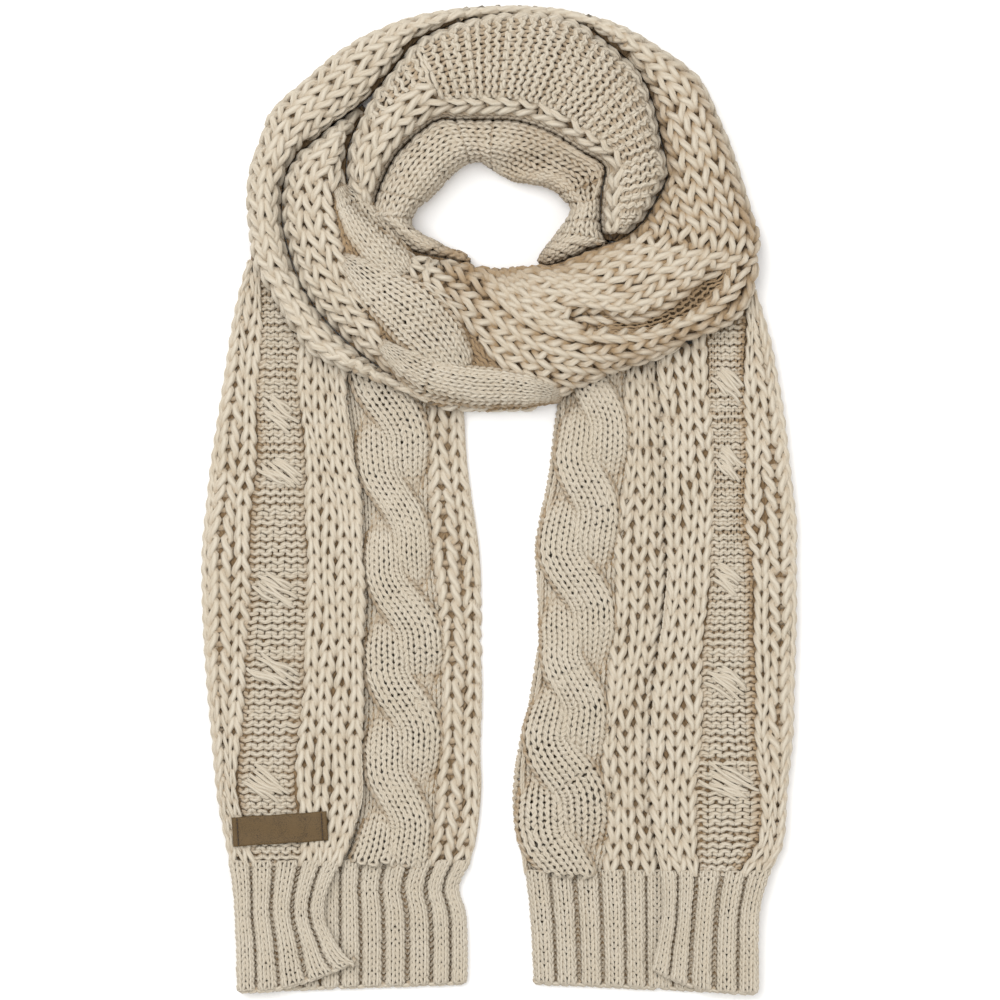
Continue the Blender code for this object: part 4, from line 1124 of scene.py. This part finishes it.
# The hanging ends: whether their loops point up the page, the sign that leads from the fold to the
# flap's edge, where the cuff starts, how much painted shade the groove beside the fold's ribs
# gets, how far columns wander, where the cable crosses and where its back shows, the hem's corners,
# the turns that the ring covers, where the cable's bed starts, the ribs, and the curl of the flap's
# loose corner. A cuff's ribs are given by their middles, and the others by their sides, as shares.
ends = {
    "left": {
        "rows": leftRows, "up": False, "away": 1.0, "cuff": -219.0, "groove": 0.25, "wander": 1.5,
        "crossings": (115, 57, -1, -62, -121, -179, -236), "marks": (52, 16, -54, -104, -171),
        "hem": ((-160, -296.5), (-20, -291)), "lip": (-175, -97), "bed": -0.28,
        "flapCuff": (-152.5, -140, -126.5, -113.5, -102.5),
        "panelCuff": (-102, -90, -77, -63, -48.5, -35.5, -24.5),
        "innerRibs": (0, 0.26, 0.52, 0.77, 1), "beforeCable": (),
        "afterCable": (0.02, 0.58, 0.59, 1),
        "curlFrom": -250, "curlOut": 15.0, "curlUp": 19.0, "curlWidth": 48.0,
    },
    "right": {
        "rows": rightRows, "up": True, "away": -1.0, "cuff": -225.0, "groove": 0.8, "wander": 1.4,
        "crossings": (120, 63, 8.5, -48, -110, -161, -217), "marks": (70, 22, -48, -109, -170),
        "hem": ((19, -291), (155, -297)), "lip": (99, 160), "bed": -0.1,
        "flapCuff": (149.5, 136, 121.5, 109, 99), "panelCuff": (94.5, 82, 69, 55, 40.5, 27),
        "innerRibs": (0, 0.34, 0.67, 1), "beforeCable": (0, 0.34, 0.68, 1), "afterCable": (),
        "curlFrom": -245, "curlOut": 5.0, "curlUp": 14.0, "curlWidth": 40.0,
    },
}
panelTop = cloth["thickness"]
flapTop = 2 * cloth["thickness"] + cloth["foldAir"]
# how far below the ring an end's rows follow the ring's edge, from how far below they follow the
# hem and over which distance, and how often and how far a round of working that out moves them
follow = {"ring": 150, "hem": 330, "hemFade": 20, "rounds": 30, "step": 0.35}
# the flap's loose corner: the height on the page at which its x is taken, the one at which it has
# its whole swing, and the power of how the swing fades away from it
curls = {"cornerAt": -285, "lowest": -297, "fade": 2.2}
# the cord along the fold: how far in from the fold and down from the flap's top, its wave,
# and its yarn, painted shade, sides and points
cord = {"in": 1.7, "down": 2.6, "wave": 0.5, "yarn": 1.8, "deep": 0.2, "sides": 6, "points": 260}
underRing = 1.5  # how far loops go on under the ring's edge
aboveHem = {"loops": 1.8, "backing": 2.0}  # how far over the hem a cuff's loops and backing end
cable = {
    "pitch": 58.0,  # from one crossing to the next
    "reach": 0.95,  # a strand's length past its crossing, as a share of the pitch
    "turn": 0.36,  # the share of the pitch past its crossing at which it is at its side
    "sway": 0.44,  # how far out its middle is there, as a share of half the cable's width
    "half": 0.8,  # half its width, and the share of that lost where it passes under another
    "narrow": 0.45,
    "rise": 6.0,  # its height over the panel, and how much more it has at its crossing
    "over": 1.4,
    "under": 9.0,  # how far it sinks where it passes under, but no deeper into the panel than
    "deepest": 1.6,
    # painted shade: below darkBelow over the panel a strand darkens over darkFade, up to dark, less
    # lighter
    "darkBelow": 3.1,  # from this height over the panel down it is darker
    "darkFade": 6.0,
    "dark": 1.2,
    "lighter": 0.6,
    "bed": -1.2,  # the stitches under the strands: their height, number across and shade
    "bedWales": 7.5,
    # bedShade is painted shade, which below 0 takes painted shade away
    "bedShade": -0.3,
}


def lipLine(turns):
    # the line under the ring where an end stops, from left to right
    turn = np.arange(turns[0], turns[1] + 1, 3.0)
    spots = planPoints(turn, ringEdge(turn) - cloth["seam"] / 2 - lip["reach"] + lip["air"])
    return spots[np.argsort(spots[:, 0])]


# worked out once for each end: its edges from the hem up, the flap's corner, the line where it
# stops under the ring and the lowest height there, and the hem's middle height
for shape in ends.values():
    rows = np.array(shape["rows"])[::-1]
    shape["dense"] = smoothRun(shape["rows"])[::-1]
    shape["corner"] = np.interp(curls["cornerAt"], rows[:, 0], rows[:, columns["flap"]])
    shape["line"] = lipLine(shape["lip"])
    shape["start"] = float(shape["line"][:, 1].min())
    shape["bottom"] = float(np.mean([y for x, y in shape["hem"]]))


def edgeAt(shape, column, y):
    # x of one of an end's edges
    return np.interp(y, shape["dense"][:, 0], shape["dense"][:, columns[column]])


def between(shape, first, last, y):
    # x of the left one and of the right one of two edges
    one, two = edgeAt(shape, first, y), edgeAt(shape, last, y)
    return np.minimum(one, two), np.maximum(one, two)


def belowLip(shape):
    return lambda spots: spots[:, 1] < valueAt(spots[:, 0], shape["line"]) + underRing


def insideEnd(shape):
    # a function that keeps yarn from standing out past an end's fold or its free edge
    def hold(centres, radii):
        left, right = between(shape, "fold", "edge", centres[..., 1])
        x = np.clip(centres[..., 0], left + radii, right - radii)
        return np.concatenate([x[..., None], centres[..., 1:]], -1)

    return hold


def endPlan(shape, first, last, share, levels, offset=0.0):
    # x and y where share of the way between two columns lies, at each level down an end. Near the
    # ring y rises to the lip's line, and near the hem it falls to the hem's.
    share, level = np.broadcast_arrays(np.asarray(share, float)[:, None], levels[None])
    start = shape["start"]
    hang = np.clip((level - start + follow["ring"]) / follow["ring"], 0, 1)
    drop = np.clip((start - follow["hem"] - level) / follow["hemFade"], 0, 1)
    tall = level.copy()
    for _ in range(follow["rounds"]):
        near, far = edgeAt(shape, first, tall), edgeAt(shape, last, tall)
        x = near + (far - near) * share + offset * shape["away"]
        lift = valueAt(x, shape["line"]) - start
        sag = valueAt(x, shape["hem"]) - shape["bottom"]
        tall = tall + follow["step"] * (level + lift * hang + sag * drop - tall)
    return x, tall


def curl(shape, x, y):
    # the flap's loose corner swings away from the fold and up, as the square of the depth past
    # where it starts, less with distance from the corner
    depth = (shape["curlFrom"] - y) / (shape["curlFrom"] - curls["lowest"])
    near = np.clip(1 - np.abs(x - shape["corner"]) / shape["curlWidth"], 0, 1) ** curls["fade"]
    down = np.clip(depth, 0, 1) ** 2
    return x + shape["away"] * shape["curlOut"] * down * near, y + shape["curlUp"] * down * near


def endGrid(shape, first, last, shareA, shareB, levels, height, across=5):
    # a flat patch between two columns whose rows lie straight across the page
    share = np.linspace(shareA, shareB, across)[:, None]
    near, far = edgeAt(shape, first, levels), edgeAt(shape, last, levels)
    sway = shape["wander"] * np.sin(levels / 17 + 5 * share) * np.sin(levels / 41 + 3 * share)
    aside = cloth["overlap"] * np.linspace(-1, 1, across)[:, None] * np.sign(far - near)
    x = near + (far - near) * share + sway + aside * (shareB > shareA)
    return np.stack([x, levels + 0 * x, height + 0 * x], -1)


def oneWay(grid, shape):
    # loops point towards the ring on the right end and away from it on the left one
    return grid[:, ::-1] if shape["up"] else grid


def layFlat(yarn, centres, radii, deep, count):
    # lines of yarn with one amount of painted shade, whose upper side looks straight up
    ups = np.zeros_like(centres)
    ups[..., 2] = 1
    yarn.add(centres, ups, radii, np.full(radii.shape, deep), count)


def foldCord(yarn, shape, levels):
    # one strand that runs along the fold, waving once a row
    y = np.linspace(levels[0], levels[-1], cord["points"])
    angle = 2 * math.pi * y / gauges["rib"]["course"]
    x = edgeAt(shape, "fold", y) + shape["away"] * (cord["in"] + cord["wave"] * np.sin(angle))
    z = flapTop - cord["down"] + cord["wave"] * np.cos(angle)
    centres = np.stack([x, y, z], -1)
    centres = centres[belowLip(shape)(centres)][None]
    layFlat(yarn, centres, np.full(centres.shape[:2], cord["yarn"]), cord["deep"], cord["sides"])


def endRibs(yarn, shape, first, last, shares, levels, height, kind="rib"):
    for one, two in zip(shares, shares[1:]):
        grid = endGrid(shape, first, last, one, two, levels, height)
        knit(yarn, oneWay(grid, shape), 1, kind, dip=2.4, keep=belowLip(shape),
             hold=insideEnd(shape))


def cableStrands(yarn, shape):
    # A strand's centre goes from left to right as a sine of the way past its crossing. It sinks and
    # narrows under the crossings before and after it. Its section is a flattened arch.
    along = np.linspace(-cable["reach"], cable["reach"], 70)
    sway = cable["sway"] * np.sin(np.clip(along / cable["turn"], -1, 1) * math.pi / 2)
    toEnd = np.clip((np.abs(along) - 0.5) / 0.45, 0, 1)
    share = np.linspace(-1, 1, 11)
    arch = np.clip(1 - np.abs(share[:, None]) ** 2.6, 0, 1) ** 0.6
    over = cable["over"] * np.clip(1 - np.abs(along) / 0.5, 0, 1)
    height = panelTop + (cable["rise"] + over) * arch - cable["under"] * toEnd**1.5
    height = np.maximum(height, panelTop - cable["deepest"])

    def keep(spots):
        return belowLip(shape)(spots) & (spots[:, 1] > shape["cuff"] + 1)

    def strandShade(spots):
        # painted shade where the strand lies low
        down = panelTop + cable["darkBelow"] - spots[..., 2]
        return cable["dark"] * np.clip(down / cable["darkFade"], 0, 1) - cable["lighter"]

    for crossing in shape["crossings"]:
        y = crossing - along * cable["pitch"]
        left, right = between(shape, "cableOut", "cableIn", y)
        half = (right - left) / 2
        wide = cable["half"] * (1 - cable["narrow"] * toEnd**2) * half
        plan = strip(np.stack([(left + right) / 2 + sway * half, y, wide], -1), share)
        grid = np.concatenate([plan, height[..., None]], -1)
        knit(yarn, oneWay(grid, shape), 5, "plain", keep=keep, shade=strandShade)


cuffKnit = {
    "rise": 3.2,  # of a rib's middle over its sides
    "down": 1.2,  # of its sides
    "half": 7.2,  # half its width, and at most this share of the way to the next one
    "share": 0.55,
    "wide": 5.0,  # ribs of more than this half width have three columns
    # the ribs' painted shade, below 0, which takes painted shade away
    "shade": -0.5,
    "groove": 1.9,  # depth of a groove, its half width and its shade
    "grooveHalf": 1.6,
    # grooveShade is the groove's painted shade
    "grooveShade": 0.28,
}


def cuffRibs(yarn, shape, middles, first, last, height, levels, curled):
    # Each rib is two or three columns of small loops that stand proud of the groove beside it. A
    # groove has its own loops, purl side up.
    near, far = [endPlan(shape, column, column, [0.0], levels)[0] for column in (first, last)]
    if not curled:
        near = near * 0 + near[0][-1]
    hemNear, hemFar = near[0][-1], far[0][-1]

    def patch(centre, half, tops):
        spread = centre + half * np.linspace(-1, 1, len(tops))[:, None]
        share = (spread - hemNear) / (hemFar - hemNear)
        x = near + (far - near) * share
        _, y = endPlan(shape, first, last, np.clip(share[:, 0], 0, 1), levels)
        if curled:
            x, y = curl(shape, x, y)
        return oneWay(np.stack([x, y, tops[:, None] + 0 * x], -1), shape)

    bulge = cuffKnit["rise"] * np.clip(1 - np.abs(np.linspace(-1, 1, 9)) ** 7, 0, 1) ** 0.8
    gaps = np.abs(np.diff(middles))
    gaps = np.concatenate([gaps[:1], gaps, gaps[-1:]])
    for centre, one, two in zip(middles, gaps, gaps[1:]):
        half = min(cuffKnit["half"], cuffKnit["share"] * min(one, two))
        knit(yarn, patch(centre, half, height - cuffKnit["down"] + bulge),
             3 if half > cuffKnit["wide"] else 2, "cuff", dip=0.4,
             shade=evenShade(cuffKnit["shade"]))
    low = np.full(5, height - cuffKnit["groove"])
    for one, two in zip(middles, middles[1:]):
        knit(yarn, patch((one + two) / 2, cuffKnit["grooveHalf"], low), 1, "cuff", face=-1, dip=0.0,
             shade=evenShade(cuffKnit["grooveShade"]))


def roundEdge(yarn, shape, column, base, top, levels, kind="plain", straight=True, wales=1,
              outwards=1.0, curled=False):
    # columns that go round an edge: most of a half circle from the upper face to the lower one
    angle = np.radians(np.linspace(75, -75, 5 if wales == 1 else 9))
    radius = (top - base) / 2
    facingOut = shape["away"] * outwards
    if straight:
        x = endGrid(shape, column, column, 0, 0, levels, 0, len(angle))[..., 0]
        y = levels + 0 * x
    else:
        x, y = endPlan(shape, column, column, np.zeros(len(angle)), levels)
    if curled:
        x, y = curl(shape, x, y)
    x = x + facingOut * radius * (np.cos(angle)[:, None] - 1)
    z = base + radius + radius * np.sin(angle)[:, None] + 0 * x
    grid = np.stack([x, y, z], -1)
    keep = belowLip(shape) if straight else None
    hold = None if column == "flap" else insideEnd(shape)
    knit(yarn, oneWay(grid, shape), wales, kind, outward=(facingOut, 0, 0), keep=keep, hold=hold)


# The strands of the cable's back: how many there are in a group, half its height and how much
# each strays from its place, its slope, where across the panel it starts and how far it goes, how
# far its middle rises and its ends lie below that, its yarn's radius and painted shade.
marks = {"strands": 8, "spread": 7.5, "stray": 0.7, "slope": (17, 27), "starts": (0.34, 0.10),
         "startStray": 0.1, "length": (0.4, 0.6), "within": (0.02, 0.98), "wave": 0.9,
         "rise": 1.3, "down": 2.6, "yarn": 1.3, "taper": 0.25, "deep": 0.15, "sides": 7}


def crossMarks(yarn, shape, height):
    # the cable's back shows through the purl panel as short slanting strands
    t = np.linspace(0, 1, 14)[None]
    count = marks["strands"]
    for middleY in shape["marks"]:
        left, right = between(shape, "purlOut", "purlIn", middleY)
        offsets = np.linspace(marks["spread"], -marks["spread"], count)
        offsets = (offsets + dice.normal(0, marks["stray"], count))[:, None]
        slope = dice.uniform(*marks["slope"], count)[:, None]
        starts = np.linspace(*marks["starts"], count)[:, None]
        starts = starts + dice.uniform(-marks["startStray"], marks["startStray"], (count, 1))
        share = np.clip(starts + dice.uniform(*marks["length"], (count, 1)) * t, *marks["within"])
        x = left + (right - left) * share
        y = middleY + offsets - slope * (share - 0.5) + marks["wave"] * np.sin(5 * t + slope)
        arch = np.sin(math.pi * t)
        lift = marks["rise"] * arch**0.6 - marks["down"] + 0 * slope
        centres = np.stack([x, y, height + lift], -1)
        radii = marks["yarn"] * (1 - marks["taper"] + marks["taper"] * arch) + 0 * slope
        good = belowLip(shape)(centres.mean(axis=1))
        layFlat(yarn, centres[good], radii[good], marks["deep"], marks["sides"])


def hemRoll(yarn, shape, first, last, base, top, curled):
    # a cast-on edge: one column of loops that runs along the hem and round it
    x, y = endPlan(shape, first, last, np.linspace(0.02, 0.98, 40), np.array([shape["bottom"]]))
    x, y = x[:, 0], y[:, 0]
    if curled:
        x, y = curl(shape, x, y)
    angle = np.radians(np.linspace(85, -60, 6))[:, None]
    radius = (top - base) / 2
    tall = y[None] + radius * (1 - np.cos(angle)) - 1.2  # the roll reaches past the ribs
    z = base + radius + radius * np.sin(angle) + 0 * x
    grid = np.stack([x + 0 * angle, tall, z], -1)
    knit(yarn, grid, 1, "band", outward=(0, -1, 0), dip=0.8)


# how far the backing lies in from the fold and the free edges
backingInset = 2.6
# the faces that close a C-shaped section, by the numbers of its points
capFaces = [(24, 0, 1, 10), (1, 2, 3, 10), (3, 9, 10), (3, 4, 8, 9), (4, 5, 7, 8), (5, 6, 7),
            (24, 10, 11, 23), (11, 12, 22, 23), (12, 13, 21, 22), (13, 14, 20, 21),
            (14, 15, 19, 20), (15, 16, 18, 19), (16, 17, 18)]


def endBacking(name, shape, node):
    # the folded cloth under the stitches: one closed loft through C-shaped sections
    low, high = 0.0, panelTop + cloth["ribRise"] - cloth["ground"]
    flapLow, flapHigh = panelTop + cloth["foldAir"], flapTop + cloth["ribRise"] - cloth["ground"]
    inset = backingInset
    path = [
        ("fold", inset, flapTop / 2), ("fold", inset + 0.8, flapHigh - 1.0),
        ("fold", inset + 3.0, flapHigh), ("purlOut", 0, flapHigh), ("purlIn", 0, flapHigh),
        ("flap", -inset - 1, flapHigh), ("flap", -inset, (flapLow + flapHigh) / 2),
        ("flap", -inset - 1, flapLow), ("purlIn", 0, flapLow), ("purlOut", 0, flapLow),
        ("fold", 6.5, (flapLow + high) / 2), ("purlOut", 0, high), ("purlIn", 0, high),
        ("flap", -3, high), ("cableOut", 0, high), ("cableIn", -4, high),
        ("edge", -inset, high), ("edge", -inset + 0.6, 1.3), ("edge", -inset - 1, low),
        ("cableIn", -4, low), ("cableOut", 0, low), ("purlIn", 0, low),
        ("purlOut", 0, low), ("fold", inset + 2.5, low), ("fold", inset + 0.6, 2.4),
    ]
    levels = np.linspace(shape["start"], shape["bottom"] + aboveHem["backing"], 60)
    rings = []
    for column, offset, height in path:
        x, y = endPlan(shape, column, column, [0.0], levels, offset)
        if height >= flapLow:
            x, y = curl(shape, x, y)
        rings.append(np.stack([x[0], y[0], height + 0 * x[0]], -1))
    grid = np.array(rings).transpose(1, 0, 2)
    index, _, wall = loft(*grid.shape[:2])
    faces = [tuple(face) for face in wall.tolist()]
    faces += [tuple(int(index[0, corner]) for corner in face) for face in capFaces]
    faces += [tuple(int(index[-1, corner]) for corner in face[::-1]) for face in capFaces]
    if shape["away"] < 0:
        faces = [face[::-1] for face in faces]
    mesh = bpy.data.meshes.new(name)
    mesh.from_pydata((grid.reshape(-1, 3) * mm).tolist(), [], faces)
    mesh.shade_smooth()
    mesh.materials.append(ground)
    piece = addObject(name, mesh)
    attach(piece, "root")
    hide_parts(node)
    return piece


def scarfEnd(name, shape, node):
    print(name, "end")
    keep = belowLip(shape)
    highest = min(float(shape["line"][:, 1].max()) + 8, shape["rows"][0][0])
    levels = np.linspace(highest, shape["cuff"], 90)
    cuffLevels = np.linspace(shape["cuff"] + 2, shape["bottom"] + aboveHem["loops"], 24)
    ribTop, panelRibTop = flapTop + cloth["ribRise"], panelTop + cloth["ribRise"] + 0.2
    ribs = Yarn()
    endRibs(ribs, shape, "fold", "purlOut", (0.1, 0.62), levels, ribTop, "wide")
    endRibs(ribs, shape, "fold", "purlOut", (0.62, 1), levels, ribTop)
    endRibs(ribs, shape, "purlIn", "flap", shape["innerRibs"], levels, ribTop)
    endRibs(ribs, shape, "flap", "cableOut", shape["beforeCable"], levels, panelRibTop)
    endRibs(ribs, shape, "cableIn", "edge", shape["afterCable"][:2], levels, panelRibTop, "wide")
    endRibs(ribs, shape, "cableIn", "edge", shape["afterCable"][2:], levels, panelRibTop - 0.8)
    roundEdge(ribs, shape, "fold", 0.4, ribTop, levels, "rib", outwards=-1.0)
    foldCord(ribs, shape, levels)
    ribsPiece = knitPiece(name + "Ribs", ribs, oatmeal)
    fine = Yarn()
    for one, two in ((shape["bed"], 0.32), (0.68, 1.06)):
        bed = endGrid(shape, "cableOut", "cableIn", one, two, levels, panelTop + cable["bed"], 7)
        knit(fine, oneWay(bed, shape), round(cable["bedWales"] * (two - one)), "bed", keep=keep,
             shade=evenShade(cable["bedShade"]))
    cableStrands(fine, shape)
    roundEdge(fine, shape, "edge", 0.4, panelTop + 0.6, levels, wales=2)
    roundEdge(fine, shape, "flap", panelTop + 0.8, flapTop + 0.6, levels, wales=2)
    cablePiece = knitPiece(name + "Cable", fine, oatmeal)

    def purlShade(spots):
        # painted shade, darker towards the groove beside the fold's columns
        aside = spots[..., 0] - edgeAt(shape, "purlOut", spots[..., 1])
        return shape["groove"] * np.exp(-(aside / 4.5) ** 2)

    purl = Yarn()
    panel = endGrid(shape, "purlOut", "purlIn", 0, 1, levels, flapTop + 0.4, 11)
    knit(purl, oneWay(panel, shape), 5, "purl", face=-1, keep=keep, shade=purlShade)
    crossMarks(purl, shape, flapTop + 1.7)
    purlPiece = knitPiece(name + "Purl", purl, oatmeal)
    cuff = Yarn()
    cuffRibs(cuff, shape, shape["flapCuff"], "fold", "flap", flapTop, cuffLevels, True)
    cuffRibs(cuff, shape, shape["panelCuff"], "flap", "edge", panelTop, cuffLevels, False)
    cuffRibs(cuff, shape, shape["flapCuff"], "fold", "flap", panelTop - 1.6, cuffLevels[-9:], False)
    roundEdge(cuff, shape, "fold", 0.4, flapTop + 1, cuffLevels, "cuff", False, 2, -1.0)
    roundEdge(cuff, shape, "edge", 0.4, panelTop + 0.8, cuffLevels, "cuff", False)
    roundEdge(cuff, shape, "flap", panelTop + 0.8, flapTop + 1, cuffLevels, "cuff", False,
              curled=True)
    hemRoll(cuff, shape, "flap", "edge", 0.3, panelTop, False)
    hemRoll(cuff, shape, "fold", "flap", panelTop + 0.8, flapTop, True)
    hemRoll(cuff, shape, "fold", "flap", 0.3, panelTop, False)
    cuffPiece = knitPiece(name + "Cuff", cuff, oatmeal)
    backing = endBacking(name + "Cloth", shape, node)
    return backing, [ribsPiece, cablePiece, purlPiece, cuffPiece]


leftBacking, leftPieces = scarfEnd("left", ends["left"], "left_end")
rightBacking, rightPieces = scarfEnd("right", ends["right"], "right_end")

# the label: its middle, turn in degrees, size, the height that it lies at, where its seams are and
# how deep they press it in, how far its rim is rounded, and its stitches
label = {"place": (-132.0, -197.3), "turn": 3.6, "width": 57.0, "height": 17.5, "thick": 1.3,
         "lift": 13.3, "seam": 3.2, "seamHalf": 0.8, "seamDepth": 0.22, "rim": 0.5,
         "stitches": 7, "stitchSpan": 0.82, "stitchLength": 1.7, "thread": 0.32}


def onLabel(x, y, z):
    # from the label's own middle and directions to the page's
    turn = math.radians(label["turn"])
    across = label["place"][0] + x * math.cos(turn) - y * math.sin(turn)
    up = label["place"][1] + x * math.sin(turn) + y * math.cos(turn)
    return np.stack([across, up, label["lift"] + z], -1)


def labelPiece():
    # a thin plate that lies in slow waves, with rounded rims
    u = np.linspace(-1, 1, 61)[:, None]
    v = np.linspace(-1, 1, 25)[None]
    halfWidth, halfHeight = label["width"] / 2, label["height"] / 2
    wave = 0.35 * np.sin(5 * u + 1) + 0.25 * np.sin(3 * v + 2 * u)
    rim = (np.abs(u) == 1) | (np.abs(v) == 1)
    seam = np.abs(np.abs(u) * halfWidth - halfWidth + label["seam"]) < label["seamHalf"]
    upper = label["thick"] + wave - label["rim"] * rim - label["seamDepth"] * seam
    x = u * halfWidth + 0 * v
    y = v * halfHeight + 0.15 * np.sin(9 * u)
    points = np.stack([onLabel(x, y, z) for z in (wave, upper)])
    index = np.arange(2 * x.size).reshape(2, *x.shape)
    face = np.stack([index[:, :-1, :-1], index[:, :-1, 1:], index[:, 1:, 1:],
                     index[:, 1:, :-1]], -1)
    rim = np.concatenate([index[:, :, 0], index[:, -1, 1:], index[:, ::-1, -1][:, 1:],
                          index[:, 0, ::-1][:, 1:-1]], axis=1)
    after = np.roll(rim, -1, axis=1)
    quads = [face[0].reshape(-1, 4), face[1].reshape(-1, 4)[:, ::-1],
             np.stack([rim[0], after[0], after[1], rim[1]], -1)]
    piece = quadPiece("labelPatch", points.reshape(-1, 3), np.concatenate(quads), labelMaterial())
    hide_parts("label")


def labelThread():
    # short dark stitches in a line near each of the label's short ends
    t = np.linspace(0, 1, 7)
    centres = []
    for side in (-1, 1):
        for place in np.linspace(-label["stitchSpan"], label["stitchSpan"], label["stitches"]):
            x = side * (label["width"] / 2 - label["seam"]) + 0 * t
            y = place * label["height"] / 2 + (t - 0.5) * label["stitchLength"]
            centres.append(onLabel(x, y, label["thick"] + 0.15 + 0.35 * np.sin(math.pi * t)))
    centres = np.array(centres)
    yarn = Yarn()
    layFlat(yarn, centres, np.full(centres.shape[:2], label["thread"]), 0.0, 6)
    return knitPiece("labelStitching", yarn, threadMaterial())


labelPiece()
threadPiece = labelThread()

print("cloth sizes", backFlat, frontFlat, collarFlat, neckFlat)
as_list(rightPieces)

# camera, light and floor
view = {"width": 0.6, "lens": 200.0, "sensor": 36.0, "height": 0.012}
camera = addObject("camera", bpy.data.cameras.new("camera"))
camera.data.lens = view["lens"]
camera.data.sensor_width = view["sensor"]
camera.location = (0, 0, view["height"] + view["width"] * view["lens"] / view["sensor"])
bpy.context.scene.camera = camera

floorMesh = bpy.data.meshes.new("floor")
floorMesh.from_pydata([(-6, -6, 0), (6, -6, 0), (6, 6, 0), (-6, 6, 0)], [], [(0, 1, 2, 3)])
floorPaint = Paint("floor paint", {"Base Color": (0.97, 0.97, 0.97, 1), "Roughness": 0.9})
floorMesh.materials.append(floorPaint.material)
floor = addObject("floor", floorMesh)

lights = {
    "soft box": {"place": (-0.9, 1.0, 2.6), "size": 2.4, "power": 72.0},
    "fill": {"place": (1.6, -1.2, 2.2), "size": 2.4, "power": 24.0},
}
for name, facts in lights.items():
    lamp = bpy.data.lights.new(name, "AREA")
    lamp.shape = "SQUARE"
    lamp.size = facts["size"]
    lamp.energy = facts["power"]
    holder = addObject(name, lamp)
    x, y, z = facts["place"]
    holder.location = facts["place"]
    holder.rotation_euler = (math.atan2(math.hypot(x, y), z), 0, math.atan2(x, -y))
world = bpy.data.worlds.new("pale room")
world.use_nodes = True
background = world.node_tree.nodes["Background"]
background.inputs["Color"].default_value = (1.0, 0.99, 0.97, 1)
background.inputs["Strength"].default_value = 0.65
bpy.context.scene.world = world
bpy.context.scene.view_settings.view_transform = "Standard"
